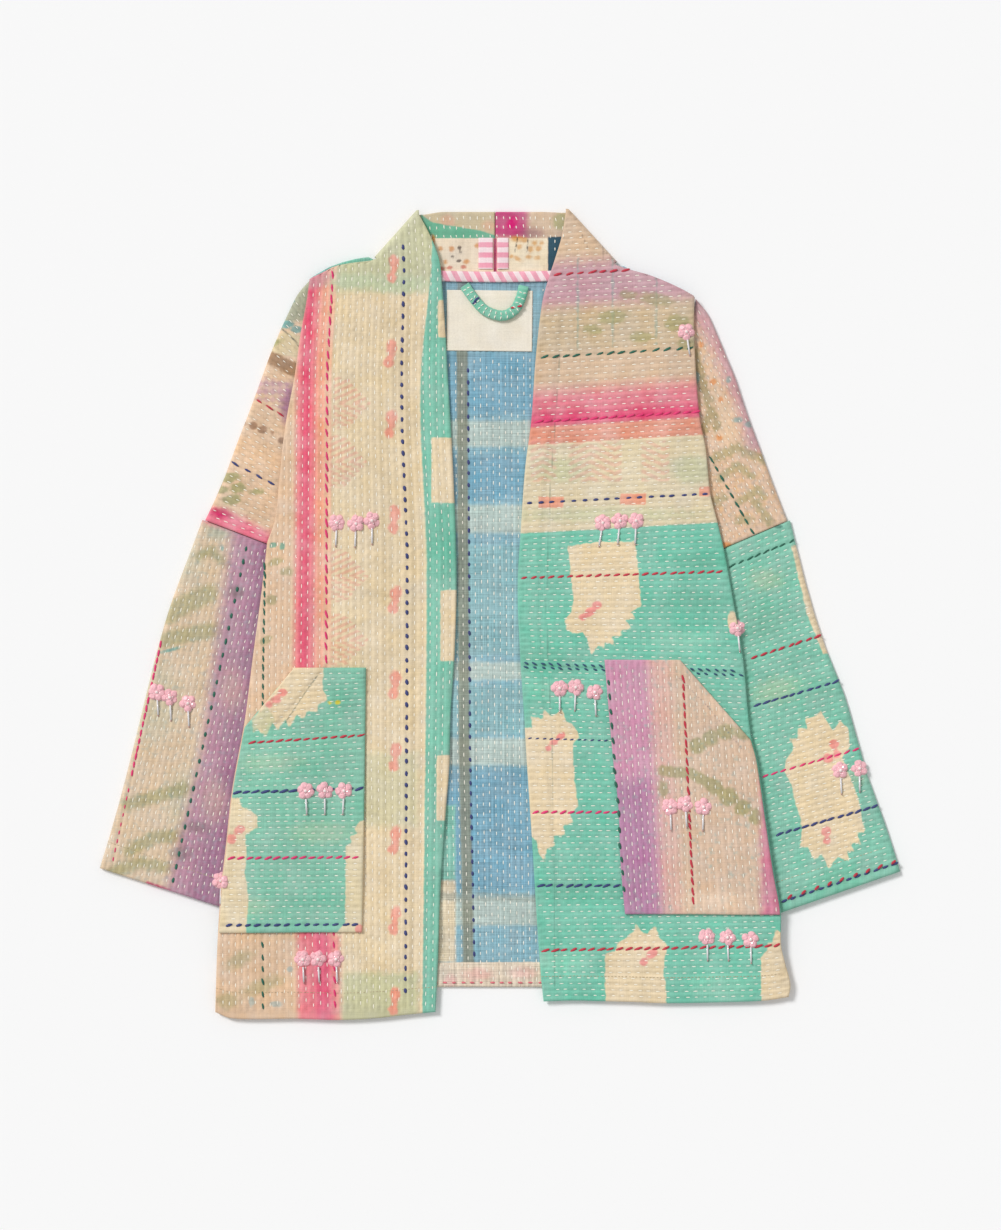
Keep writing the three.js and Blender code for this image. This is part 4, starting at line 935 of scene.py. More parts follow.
dye(front_right, "front_right_patchwork", (225, 193, 163), [
    (CREAM, np.minimum(strip(u, 0, 149.5), panel), 1.5, 0.5),
    ((206, 186, 150), np.minimum(strip(u, 83, 88.5), panel), 2.5, 0.5, 0.45),
    ((212, 190, 152), np.minimum(strip(u, 104, 110), panel), 3, 1, 0.35),
    ((236, 190, 162), np.minimum(strip(u, 149.5, 157), panel), 1, 0.5),
    ((239, 172, 146), np.minimum(strip(u, 155.8, 170), panel), 1, 0.5),
    ((236, 146, 146), np.minimum(strip(u, 163, 182.5), panel), 3.6, 1),
    ((226, 92, 124), np.minimum(strip(u, 168, 178), panel), 4.6, 1.2, 0.8),
    ((188, 196, 160), np.minimum(collar_zone, strip(u, 40, 150)), 5, 2.5, 0.7),
    ((190, 204, 172), np.minimum(ovals(at, (400, 286, 30, 9), (355, 282, 30, 7)), panel), 4, 3, 0.6),
    ((188, 198, 164), np.minimum(block(at, 340, 418, 752, 826), panel), 6, 3, 0.4),
    ((178, 190, 152), block(at, 342, 418, 972, 1030), 5, 3, 0.6),
    ((234, 140, 146), block(at, 301, 340, 936, 1030), 5, 1.5, 0.75),
    ((200, 150, 158), np.minimum(oval(at, 316, 276, 14, 14), panel), 5, 2, 0.7),
    ((158, 164, 150), np.minimum(ovals(at, (292, 300, 14, 20), (300, 285, 10, 8)), panel), 5, 2, 0.6),
    (OLIVE, ovals(at, (276, 562, 8, 4, -20), (288, 572, 7, 4), (272, 600, 6, 5), (266, 640, 7, 4, -30)), 1.6,
     1.6, 0.6),
    (OLIVE, ovals(at, (240, 958, 15, 7, -30), (262, 985, 20, 7, -20), (228, 1000, 11, 8)), 4, 2.4, 0.5),
    ((110, 170, 150), np.maximum(block(at, 280, 285, 543, 550), block(at, 270, 277, 543, 548)), 0.8, 0.4,
     0.8),
    ((150, 178, 176), ovals(at, (276, 1003, 6, 3), (252, 1001, 3, 5), (290, 968, 3, 3)), 1, 1, 0.6),
    ((224, 96, 132), stroke(at, 16, (322, 926), (325, 1020)), 5, 1.2, 0.75),
    ((226, 140, 132), np.minimum(chevrons, hatched), 1.2, 0.5, 0.4),
    ((237, 158, 142), np.minimum(marks, panel), 1.2, 1.1, 0.85),
    (TEAL, teal_edge, 0.8, 0.5),
    ((104, 180, 154), np.minimum(teal_edge - 1, strip(at[1], 505, 580)), 5, 2, 0.5),
    (CREAM, np.maximum.reduce([block(at, 431, 462, 438, 503), block(at, 440, 466, 590, 661),
                               block(at, 436, 460, 755, 820), block(at, 437.5, 452, 301, 338)]), 0.8, 0.6),
    ((214, 200, 168), flap, 1, 0),
    ((206, 190, 158), np.minimum(block(at, 400, 500, 200, 238), flap), 1, 0.4),
    ((222, 170, 142), np.minimum(ovals(at, (447, 222, 7, 7), (488, 226, 6, 5)), flap), 3, 1, 0.6),
    ((150, 120, 104), np.minimum(stroke(at, 1.5, (389, 249), (389, 266)), panel), 0.6, 0.3, 0.5),
    ((118, 182, 152), np.minimum(patch(at, (420, 214), (432, 223), (480, 231), (496, 236), (496, 241),
                                       (424, 241)), flap), 0.8, 0.5),
    ((238, 220, 196), np.minimum(block(at, 400, 500, 238.5, 290), flap), 0.6, 0.2),
    ((205, 98, 132), np.minimum(block(at, 493.2, 505, 238.5, 290), flap), 0.6, 0.2),
    ((214, 138, 62), np.minimum(ovals(at, (432, 240, 3, 5), (440, 249, 2.4, 2.4), (451, 249, 3, 3),
                                      (466, 262, 3, 2.4), (476, 246, 2.4, 2.4), (445, 262, 2.2, 2.2)), flap),
     1.3, 0.8, 0.75),
    ((92, 76, 70), np.minimum(ovals(at, (459, 248, 2.2, 2.6), (460, 253, 1.6, 1.6), (452, 257, 1.6, 2),
                                    (458.5, 261, 2.6, 1.8)), flap), 0.7, 0.3, 0.85),
    ((206, 112, 96), np.minimum(ovals(at, (441, 269, 3, 2), (449, 268, 3, 2), (463, 267, 3, 2)), flap), 0.8,
     0.4, 0.8),
])
left_closed, left_rows, left_points = front_panel(
    left, np.arange(14, 272, STITCH_PITCH / 4), through(left_lines),
    lambda column, y: column, left_y, False, 22, lambda out, y: ~under_left_pocket(out, y),
    [316, 241, 182, 107, 36.6, -50, -181.7, -248.9, -306.8])
front_left = cloth_object("front_left_panel", [left_closed, collar_half(left, left_neck_seam)])
at, _, v = places(front_left)
flap = np.where(v > 0.6 * COLLAR_SHIFT, 30.0, -30.0)
panel = -flap
motifs = np.maximum.reduce([
    patch(at, (567, 546), (600, 542), (634, 542), (636, 560), (639, 590), (640, 606), (630, 612), (634, 619),
          (624, 620), (631, 629), (619, 630), (622, 637), (611, 636), (614, 645), (604, 641), (604, 649),
          (597, 645),
          (591, 656), (587, 640), (582, 632), (574, 634), (566, 629), (564, 620), (571, 612), (573, 600),
          (570, 575)),
    patch(at, (520, 727), (532, 728), (530, 716), (542, 719), (543, 708), (551, 717), (562, 709), (565, 721),
          (572, 724), (579, 736), (572, 744), (573, 770), (575, 790), (578, 806), (569, 814), (573, 822),
          (562, 825),
          (565, 834), (553, 835), (554, 846), (546, 848), (544, 862), (538, 852), (536, 840), (528, 834),
          (518, 820)),
    patch(at, (606, 1014), (604, 985), (604.5, 953), (614, 950), (617, 942), (623, 939), (628, 934),
          (633, 931),
          (635.7, 922), (640, 931), (646, 933), (655, 925), (658, 936), (667, 945), (664, 955), (662, 972),
          (665, 986), (666, 1014)),
    patch(at, (761, 1014), (759.5, 985), (759.5, 955), (766, 950), (765, 943), (771, 940), (774, 928),
          (779, 931),
          (784, 925), (802, 934), (802, 1014))])
in_beige = strip(v, 246, 330)
verticals = np.maximum.reduce([strip(at[0], x - 1.1, x + 1.1) for x in (577, 612, 655)])
chevrons = np.sin((at[1] + 0.5 * np.abs(((at[0] - 542) % 48) - 24)) * 2 * math.pi / 8) * 2
hatched = np.maximum.reduce([block(at, 530, 556, 441, 482), block(at, 568, 621, 441, 482),
                             block(at, 640, 668, 441, 482)])
dye(front_left, "front_left_patchwork", (216, 188, 160), [
    ((196, 150, 168), np.minimum(strip(v, 286, 327), panel), 10, 3, 0.8),
    ((198, 184, 150), np.minimum(strip(v, 243, 284), panel), 8, 3, 0.45),
    ((120, 168, 160), np.minimum(np.minimum(verticals, in_beige), panel), 1, 1.6, 0.4),
    (OLIVE, np.minimum(ovals(at, (612, 318, 15, 7, -10), (655, 300, 18, 6, 10), (676, 324, 13, 8),
                             (640, 338, 12, 5),
                             (592, 330, 9, 5), (686, 345, 10, 6), (628, 296, 9, 4)), panel), 2, 2, 0.6),
    ((226, 128, 146), strip(v, 172, 210), 11, 1.5, 0.9),
    ((222, 64, 114), strip(v, 178, 190), 5, 1, 0.7),
    ((226, 160, 140), strip(v, 159, 177), 1.6, 0.7, 1),
    ((222, 207, 176), strip(v, 60, 161), 1, 0.5),
    ((190, 200, 164), np.minimum(ovals(at, (600, 515, 90, 7), (560, 470, 26, 12), (690, 470, 20, 14)),
                                 strip(v, 80, 161)), 5, 3, 0.5),
    ((226, 138, 138), np.minimum(chevrons, hatched), 1.1, 0.5, 0.3),
    ((234, 158, 134), np.maximum.reduce([block(at, 538, 563, 497, 508), block(at, 619, 645, 494, 505),
                                         block(at, 698, 709, 487, 497)]), 0.8, 0.7, 0.85),
    ((126, 195, 172), np.minimum(80 - v, panel), 0.8, 0.5),
    ((106, 178, 152), np.minimum(ovals(at, (540, 660, 26, 14), (690, 600, 40, 10), (590, 890, 70, 12),
                                       (700, 560, 40, 8)), 78 - v), 6, 4, 0.5),
    ((152, 208, 184), np.minimum(ovals(at, (560, 690, 30, 10), (680, 640, 30, 8), (560, 960, 30, 10),
                                       (720, 985, 30, 12)), 78 - v), 6, 4, 0.5),
    (CREAM, np.minimum(np.maximum(motifs, oval(at, 731, 621, 5, 10)), 90 - v), 0.9, 1.1),
    ((132, 112, 104), np.minimum(np.maximum(stroke(at, 1.5, (580, 233), (587, 249)),
                                            stroke(at, 1.5, (602, 246), (602, 262))), panel), 0.6, 0.3, 0.5),
    ((236, 148, 144), ovals(at, (596, 605, 5, 4), (589, 612, 7, 4, -40), (582, 617, 4, 3.4),
                            (560, 736, 5, 3.4, -35),
                            (553, 742, 4, 3), (548, 748, 3.4, 3), (651, 953, 6, 4, -30), (643, 961, 4, 4)), 1,
     0.7, 0.9),
    ((84, 112, 100), stroke(at, 1.6, (560, 345), (549, 500), (545.5, 610), (552, 760), (554, 985)), 0.6, 0.3,
     0.38),
    ((216, 190, 164), flap, 1, 0),
    ((198, 82, 130), np.minimum(block(at, 480, 527, 190, 238), flap), 5, 1, 0.95),
    ((218, 34, 118), np.minimum(oval(at, 512, 223, 5, 7, 50), flap), 2, 1, 0.9),
    ((160, 112, 128), np.minimum(oval(at, 531, 233, 11, 5), flap), 4, 1.5, 0.6),
    ((166, 170, 120), np.minimum(oval(at, 561, 222, 9, 8), flap), 3, 2, 0.7),
    ((240, 224, 196), np.minimum(block(at, 480, 547.5, 238.5, 290), flap), 0.6, 0.2),
    ((205, 98, 132), np.minimum(block(at, 490, 496.4, 238.5, 290), flap), 0.6, 0.2),
    ((216, 150, 66), np.minimum(ovals(at, (516, 239, 6, 3), (524, 240, 4, 3), (519, 247, 3, 3),
                                      (530, 249, 3, 3),
                                      (534, 243, 3, 2.4), (538, 249, 3, 3), (528, 257, 3, 2.6),
                                      (517, 259, 5, 2, 25),
                                      (537, 258, 3, 2.4), (511, 257, 2.4, 2), (541, 243, 2.4, 2)), flap), 1.4,
     1, 0.65),
    ((70, 68, 72), np.minimum(np.maximum(stroke(at, 1.3, (517, 238), (514.5, 252)),
                                         stroke(at, 1.3, (527.5, 238), (526.5, 253))), flap), 0.6, 0.2, 0.9),
    ((56, 88, 104), np.minimum(block(at, 547.5, 570, 237, 300), flap), 0.7, 0.3),
])


def right_line(column, low, high, pitch, length, turn, seed):
    """Coloured stitches up the right front, from the row `low` mm to the row `high` mm."""
    steps = through(right_lines)
    line = right_points[:, np.argmin(np.abs(steps - column))]
    wanted = (line[:, 1] > low) & (line[:, 1] < high)
    return strands(line[wanted], pitch, length, -turn, seed, lambda out, y: ~under_right_pocket(out, y))


def left_line(level, low, high, pitch, length, turn, seed):
    """Coloured stitches across the left front, from `low` to `high` mm out."""
    steps = through(left_lines)
    line = left_points[np.argmin(np.abs(steps - level))]
    edge = left.outer_edge(line[:, 1]) - 2
    inner = left.front_edge(line[:, 1]) + 1
    wanted = (line[:, 0] > np.maximum(low, inner)) & (line[:, 0] < np.minimum(high, edge))
    return strands(line[wanted], pitch, length, turn, seed, lambda out, y: ~under_left_pocket(out, y))


dark_teal_thread = thread("dark_teal_thread", 34, 76, 112)
for name, finish, width, height, lines in [
    ("front_right_hot_pink_stitches", hot_pink_thread, 2.5, 1.5, [(153, down(664), 314, 10.4, 9.2, 14, 41)]),
    ("front_right_pink_tail_stitches", hot_pink_thread, 2.4, 1.4, [(153, -364, -286, 11.2, 8, 12, 42)]),
    ("front_right_navy_stitches", navy_thread, 3.6, 1.6, [(90.3, -352, down(246), 10.6, 5.2, 14, 43)]),
    ("front_right_green_stitches", green_thread, 2.4, 1.5, [
        (210, down(712), down(556), 8.6, 8, 14, 44), (210, down(1012), down(934), 11.4, 6.4, 14, 45)]),
    ("front_left_red_stitches", red_thread, 2.8, 1.6, [
        (316, 46, 136, 10.5, 9, 18, 46), (36.6, 16, 300, 8.6, 7.8, 22, 47),
        (-306.8, 36, 300, 8.6, 8.6, 22, 48)]),
    ("front_left_green_stitches", green_thread, 2.5, 1.6, [(241, 30, 300, 10.4, 8.8, 20, 49)]),
    ("front_left_hot_pink_stitches", hot_pink_thread, 2.8, 1.6, [
        (182, 30, 300, 8.6, 9, 16, 50), (-181.7, 20, 300, 8.2, 8, 24, 51)]),
    ("front_left_navy_stitches", navy_thread, 2.8, 1.5, [
        (107, 18, 300, 10.2, 5.4, 6, 52), (-248.9, 30, 300, 8.8, 8.4, 20, 55)]),
    ("front_left_teal_stitches", dark_teal_thread, 1.9, 1.3, [
        (-48, 14, 300, 7.6, 4.8, -24, 53), (-52.5, 14, 300, 7.9, 4.6, -22, 54)]),
    ("front_left_dark_stitches", navy_thread, 1.5, 1, [(-116.4, 14, 100, 6.4, 3.8, 20, 56)]),
]:
    line_of, sign = (right_line, -1) if "right" in name else (left_line, 1)
    sewn(name, np.concatenate([line_of(*line) for line in lines]), finish, sign, width, height)
hem_thread = thread("hem_thread", 188, 170, 138)



def topstitch(name, line, sign, seed):
    """Fine stitches that hold a turned hem."""
    found = strands(line, 3.2, 2.3, 0, seed)
    found[:, 2] -= 0.25
    sewn(name, found, hem_thread, sign, 0.6, 0.5)


topstitch("front_right_hem_stitches", right_points[11, 6:-6], -1, 57)
topstitch("front_left_hem_stitches",
          left_points[np.argmin(np.abs(through(left_lines) - left.hem_y - FRONT_HEM)), 6:-6], 1, 58)


def top_of(*made):
    """The height of the topmost of some pieces at a place, as a function, in millimetres."""
    trees = [BVHTree.FromPolygons([v.co for v in one.data.vertices],
                                  [tuple(f.vertices) for f in one.data.polygons])
             for one in made]

    def height(x, y):
        hits = [tree.ray_cast(Vector((x * MM, y * MM, 0.05)), Vector((0, 0, -1)))[0] for tree in trees]
        return max([hit.z / MM for hit in hits if hit] or [4.0])

    return height


collar_top = top_of(front_right, front_left)
draw = np.random.default_rng(59)
collar_rows = []
for column in np.arange(-64, 62, 6.1):
    for level in np.arange(368 - 3.4, 347, -8) - 0.6 * abs(column) / 30:
        spot = np.array([column, level]) + draw.normal(0, 0.4, 2)
        lean = draw.normal(-0.12, 0.1)
        collar_rows.append((*spot, collar_top(*spot), lean, 1, 0, 3.4 * draw.uniform(0.8, 1.15), 0.5))
collar_rows += [(50.6, level, collar_top(50.6, level), 0, 1, 0, 3.4, 0.5) for level in (343, 336)]
sewn("collar_stitches", np.array(collar_rows), white_thread)
for front, node, slot, rows, sign in [
    (front_right, "front_right", "front_right_cloth", right_rows, -1),
    (front_left, "front_left", "front_left_cloth", left_rows, 1),
]:
    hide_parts(node)
    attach(front, "root")
    sewn(node + "_stitches", rows, white_thread, sign)

# Sleeves
# Each sleeve is a dropped upper length and a lower length with a turned cuff, both flattened tubes of quilted
# cotton. They lie on the table with their inner edges under the body.
SLEEVE_HEIGHT = 4.6
CUFF_HEM = 26


def smooth_line(points):
    """A smooth line through plan points, as a function of t from 0 to 1."""
    points = np.array(points, float)
    end = len(points) - 1

    def at(t):
        place = np.clip(t, 0, 1) * end
        i = np.minimum(place.astype(int), end - 1)
        w = (place - i)[..., None]
        before, here, there, after = (points[np.clip(i + k, 0, end)] for k in (-1, 0, 1, 2))
        leave, arrive = (there - before) / 2, (after - here) / 2
        return ((2 * here - 2 * there + leave + arrive) * w ** 3
                + (3 * there - 3 * here - 2 * leave - arrive) * w ** 2 + leave * w + here)

    return at


def sleeve(side, outer, inner, folds, cuffed, lines, rows_along, seed, reach_of):
    """A flattened tube: its quilted upper layer and its plain lower layer meet in the two folded edges.
    `lines` are rows' places along the outer edge, or from it where the rows run along the sleeve."""
    outer_line, inner_line = smooth_line(outer), smooth_line(inner)
    spaced = np.linspace(0, 1, 400)
    lengths = np.linalg.norm(np.diff(outer_line(spaced), axis=0), axis=1)
    distance = np.concatenate([[0], np.cumsum(lengths)])
    draw = np.random.default_rng(seed)
    if rows_along:
        levels = np.arange(0, distance[-1], STITCH_PITCH / 4)
        levels = np.append(levels[:-1], distance[-1])
        columns = through(lines)
    else:
        levels = through([0, *lines, distance[-1]])
        columns = np.arange(0, 150, STITCH_PITCH / 4)
    radius = SLEEVE_HEIGHT / 2

    def section(levels):
        t = np.interp(levels, distance, spaced)
        folded, tucked = outer_line(t), inner_line(t)
        span = tucked - folded
        width = np.linalg.norm(span, axis=1)
        return folded, span / width[:, None], width

    def build(levels, columns, upper):
        folded, across, width = section(levels)
        if upper and reach_of is not None:
            reach = np.stack([reach_of(folded, across, column) for column in columns], 1)
        else:
            reach = np.broadcast_to(columns, (len(levels), len(columns))).copy()
        reach = np.clip(reach, 0, width[:, None])
        first = np.maximum((reach <= 1.1).sum(1) - 1, 0)
        last = np.clip(len(columns) - (reach >= width[:, None] - 1.1).sum(1), first + 1, len(columns) - 1)
        rows = np.arange(len(levels))
        reach[rows, first], reach[rows, last] = 0, width
        plan = folded[:, None] + across[:, None] * reach[..., None]
        inset = np.minimum(reach, width[:, None] - reach)
        edge = np.zeros(reach.shape, bool)
        edge[rows, first] = edge[rows, last] = True
        return plan, first, last, inset, edge

    plan, first, last, inset, edge = build(levels, columns, True)
    out, y = plan[..., 0], plan[..., 1]
    phases = draw.uniform(0, STITCH_PITCH, max(len(levels), len(columns)) // 3 + 2)
    relief = quilting_on(columns, levels, rows_along, phases, seed)
    shown = ease((out - side.outer_edge(y) + 1) / 4)
    far = levels[:, None]
    ends = ease(far / 3) * ease((distance[-1] - far) / 3)
    turned = HEM_RISE * ease((CUFF_HEM + 2 - far) / 4) if cuffed else 0
    hem_line = 0.4 * np.exp(-((far - CUFF_HEM) / 1.8) ** 2) if cuffed else 0
    crease = creases(folds, out, y) * ease((inset - 2) / 12) * ease((out - side.outer_edge(y) - 3) / 12)
    swell = 0.35 * waves(out, y, 45, seed + 3)
    body = (relief - hem_line + swell) * ends * ease(inset / 4) + crease + turned * ease(inset / 3)
    height = SLEEVE_HEIGHT - bend_over(inset, np.full(inset.shape, radius)) + body * shown
    cut = np.dstack([*np.meshgrid(columns, levels), relief * ends * shown])
    radii = np.full(out.size, radius)
    closed = shell(plan.reshape(-1, 2), height.ravel(), turned_faces(first, last, len(columns)),
                   upper_fold(lambda p: np.full(len(p), SLEEVE_HEIGHT - CLOTH)), cut.reshape(-1, 3),
                   edge.ravel(), radii, rings=(1.8, 2.3))
    low_levels = np.linspace(0, distance[-1], 12)
    low_columns = np.concatenate([[0, 0.7, 1.8, 2.4], np.arange(15, 160, 12)])
    low_plan, low_first, low_last, low_inset, low_edge = build(low_levels, low_columns, False)
    bent = radius - np.sqrt(np.maximum((radius - CLOTH) ** 2 - np.maximum(radius - low_inset, 0) ** 2, 0))
    low_height = np.where(low_inset < radius, np.minimum(bent, radius - 0.05), CLOTH)
    low_cut = np.dstack([*np.meshgrid(low_columns, low_levels), 0 * low_inset]).reshape(-1, 3)
    below = shell(low_plan.reshape(-1, 2), low_height.ravel(),
                  turned_faces(low_first, low_last, len(low_columns)), lower_fold, low_cut,
                  low_edge.ravel(), np.full(low_edge.size, radius), rings=(1.0, 2.3), grid=24)
    points = np.dstack([plan, height])
    clear = (shown > 0.6) & (inset > 1.8) & (far > 3) & (far < distance[-1] - 2.5)
    clear &= ~np.isclose(columns if rows_along else far, np.array(lines)[:, None, None]).any(0)
    found = stitches_on(points, clear, columns, levels, rows_along, phases, draw)
    return [closed, below], found, points


def turned_faces(first, last, columns):
    """A sleeve's columns run inwards from its outer edge, so its faces are turned round."""
    return [face[::-1] for face in panel_faces(first, last, columns)]


def rows_from(start, direction, inward):
    """Rows that run straight from a point: the reach at which a level's line meets each of them."""
    heading = np.array(direction) / np.linalg.norm(direction)
    normal = np.array([-heading[1], heading[0]])
    normal = normal * np.sign(normal @ inward)

    def reach(folded, across, column):
        return (column - (folded - start) @ normal) / (across @ normal)

    return reach


sleeve_right_folds = [(262, 12, 20, 80, 8, 1.4), (282, -58, 14, 74, 10, 1.1), (318, -150, 62, 120, 13, 1.3),
                      (222, 160, 66, 110, 9, 1.2), (236, 104, 24, 60, 8, 1)]
sleeve_left_folds = [(246, 22, 156, 74, 8, 1.3), (276, -66, 118, 130, 12, 1.4),
                     (318, -170, 122, 110, 14, 1.2),
                     (216, 150, 108, 120, 10, 1.2), (238, 108, 150, 52, 8, 1)]
sleeves = [
    ("sleeve_right_lower", "sleeve_lower_right", right, sleeve_right_folds,
     [(367.9, -233), (355, -191), (344.5, -152), (334.5, -112), (325.5, -75), (315.5, -35), (303, 8),
      (288.5, 47),
      (273.5, 87)],
     [(246.5, -272), (234.5, -233), (222, -195), (209.5, -156), (197, -118), (184, -79), (171, -40),
      (158, -1),
      (145, 38)],
     True, [-75.1, -58, 0, 120], True, rows_from((230.5, 72.2), (0.2147, -0.9767), (-1, -0.2))),
    ("sleeve_right_upper", "sleeve_upper_right", right, sleeve_right_folds,
     [(271, 86.5), (255.5, 120), (241, 159), (227.5, 194), (214.5, 230), (204.5, 255), (195, 276), (186, 294),
      (175, 307)],
     [(144.5, 38.25), (147, 68), (151.5, 108), (157, 152), (161.5, 190), (165, 222), (168, 248), (170.5, 270),
      (172.5, 290)],
     False, [59, 121], False, None),
    ("sleeve_left_lower", "sleeve_lower_left", left, sleeve_left_folds,
     [(367.9, -236), (354, -193), (339, -152), (327.5, -112), (316, -73), (300, -33), (286.5, 8), (276, 47),
      (266.5, 86.5)],
     [(249.5, -277), (233.5, -229), (219, -186), (206, -147.5), (192.5, -109), (179.5, -71), (167, -35),
      (155, 0),
      (143, 33.5)],
     True, [8.5, 64, 119, 184, 229, 320], False, None),
    ("sleeve_left_upper", "sleeve_upper_left", left, sleeve_left_folds,
     [(264, 85.9), (251.5, 118), (239, 152), (227.5, 183), (216.5, 216), (207.5, 238), (200, 256), (191, 276),
      (180, 290)],
     [(142.5, 33.75), (143.5, 46), (144.5, 57), (145.5, 67), (147, 76), (148, 84), (149, 91), (150, 97),
      (151, 103)],
     False, [-68.4, 0, 120], True, rows_from((188.9, 151.7), (0.493, -0.87), (-1, -0.4))),
]
sleeve_points = {}
sleeve_cloths = {}
for name, node, side, folds, outer, inner, cuffed, lines, rows_along, reach_of in sleeves:
    shells, found, sleeve_points[name] = sleeve(
        side, outer, inner, folds, cuffed, lines, rows_along, len(name) + side.sign, reach_of)
    made = cloth_object(name, shells, side.sign)
    sleeve_cloths[name] = made
    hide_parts(node)
    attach(made, "root")
    sewn(name + "_stitches", found, white_thread, side.sign)

made = sleeve_cloths["sleeve_right_lower"]
at, u, _ = places(made)
# How far each point lies inside the purple band beside the body's edge. The band is purple colour together
# with painted shadow from the body lying over the sleeve.
purple_and_shadow_depth = (at[0] - np.interp(at[1], [520, 535, 756, 867, 900], [233, 231, 200, 172, 164])) * PIXEL_MM
dye(made, "right_lower_sleeve_patchwork", (218, 194, 166), [
    ((196, 194, 168), ovals(at, (150, 700, 30, 40), (190, 800, 24, 30), (185, 560, 18, 22)), 12, 5, 0.5),
    ((164, 180, 166), oval(at, 226, 528, 20, 10, -20), 5, 2, 0.6),
    ((228, 122, 148), stroke(at, 12, (204, 517), (240, 528), (268, 543)), 4, 1.5, 0.7),
    (OLIVE, np.maximum.reduce([
        stroke(at, 9, (200, 556), (212, 551), (226, 564)), stroke(at, 20, (168, 614), (190, 602), (208, 594)),
        stroke(at, 16, (164, 640), (190, 634), (216, 630)),
        stroke(at, 13, (128, 804), (150, 798), (184, 788)),
        stroke(at, 13, (130, 850), (156, 836), (184, 836)),
        stroke(at, 12, (112, 872), (140, 862), (170, 868))]),
     4, 2.4, 0.62),
    ((206, 70, 112), stroke(at, 6, (148, 884), (184, 896)), 1.4, 0.8, 0.9),
    ((110, 168, 158), ovals(at, (170, 650, 12, 1.6, -14), (233, 566, 3, 2), (222, 548, 2, 3)), 1, 0.8, 0.8),
    # Purple with painted shadow beside the body's edge, then a darker band of painted shadow nearer the edge.
    ((184, 140, 160), purple_and_shadow_depth, 9, 2.5, 0.95),
    ((150, 104, 138), purple_and_shadow_depth - 24, 13, 3, 0.6),
    ((112, 104, 100), ovals(at, (197, 827, 12, 5, 8), (181, 853, 10, 7), (236, 592, 8, 6)), 4, 2, 0.5),
    ((150, 176, 178), np.full(len(u), -1.3), 1.6, 3, 0.35),
    ((206, 172, 160), np.minimum(purple_and_shadow_depth - 4, ovals(at, (232, 690, 12, 20), (214, 800, 12, 20))), 9, 3,
     0.5),
], 1.2)
made = sleeve_cloths["sleeve_right_upper"]
at, u, _ = places(made)
seam = ((206, 517), (240, 527), (268, 543))
dye(made, "right_upper_sleeve_patchwork", (226, 194, 164), [
    ((168, 158, 128), np.full(len(u), -1.5), 1.8, 3, 0.4),
    ((160, 168, 146), patch(at, (255, 340), (292, 262), (340, 262), (340, 316), (296, 322), (272, 334)), 4,
     2.5, 0.85),
    ((104, 160, 158), ovals(at, (287, 325, 7, 4), (297, 330, 6, 3.4), (291, 300, 4, 3)), 1, 1, 0.8),
    ((216, 200, 166), patch(at, (262, 350), (284, 331), (312, 340), (312, 362), (268, 352)), 2, 1.5, 0.9),
    (OLIVE, ovals(at, (276, 343, 6, 3, -20), (230, 478, 10, 5, -10), (238, 488, 8, 5), (232, 500, 10, 5, -10),
                  (222, 490, 7, 4), (256, 492, 8, 3)), 1.6, 1.5, 0.8),
    ((74, 86, 84), stroke(at, 1.6, (282, 329), (290, 336), (300, 348)), 0.7, 0.4, 0.8),
    ((150, 116, 88), patch(at, (262, 352), (272, 352), (302, 366), (302, 380), (290, 376), (262, 361)), 1.6,
     1.5, 0.8),
    ((206, 170, 172), patch(at, (252, 376), (290, 384), (290, 398), (248, 392)), 4, 2, 0.5),
    ((160, 112, 142), oval(at, 290, 404, 9, 20, 10), 4, 2, 0.75),
    ((238, 198, 158), ovals(at, (250, 450, 20, 12), (270, 462, 12, 10)), 7, 3, 0.6),
    ((150, 112, 88), ovals(at, (253.5, 426, 4.6, 4), (262.5, 430, 4.6, 4), (272, 433, 2, 2),
                           (281, 441, 3.4, 3.4),
                           (245, 424, 2, 2)), 1.2, 0.8, 0.75),
    ((170, 122, 160), np.minimum(
        patch(at, (250, 374), (292, 384), (290, 412), (244, 398)),
        1.2 * np.cos(at[0] * 2 * math.pi / 7) + 1.2 * np.cos(at[1] * 2 * math.pi / 8)), 1, 0.8, 0.35),
    ((232, 120, 146), stroke(at, 19, *seam), 6, 2, 0.9),
    ((198, 52, 106), oval(at, 222, 513, 12, 5, 14), 3, 1.5, 0.8),
], 1.2)
made = sleeve_cloths["sleeve_left_upper"]
at, u, _ = places(made)
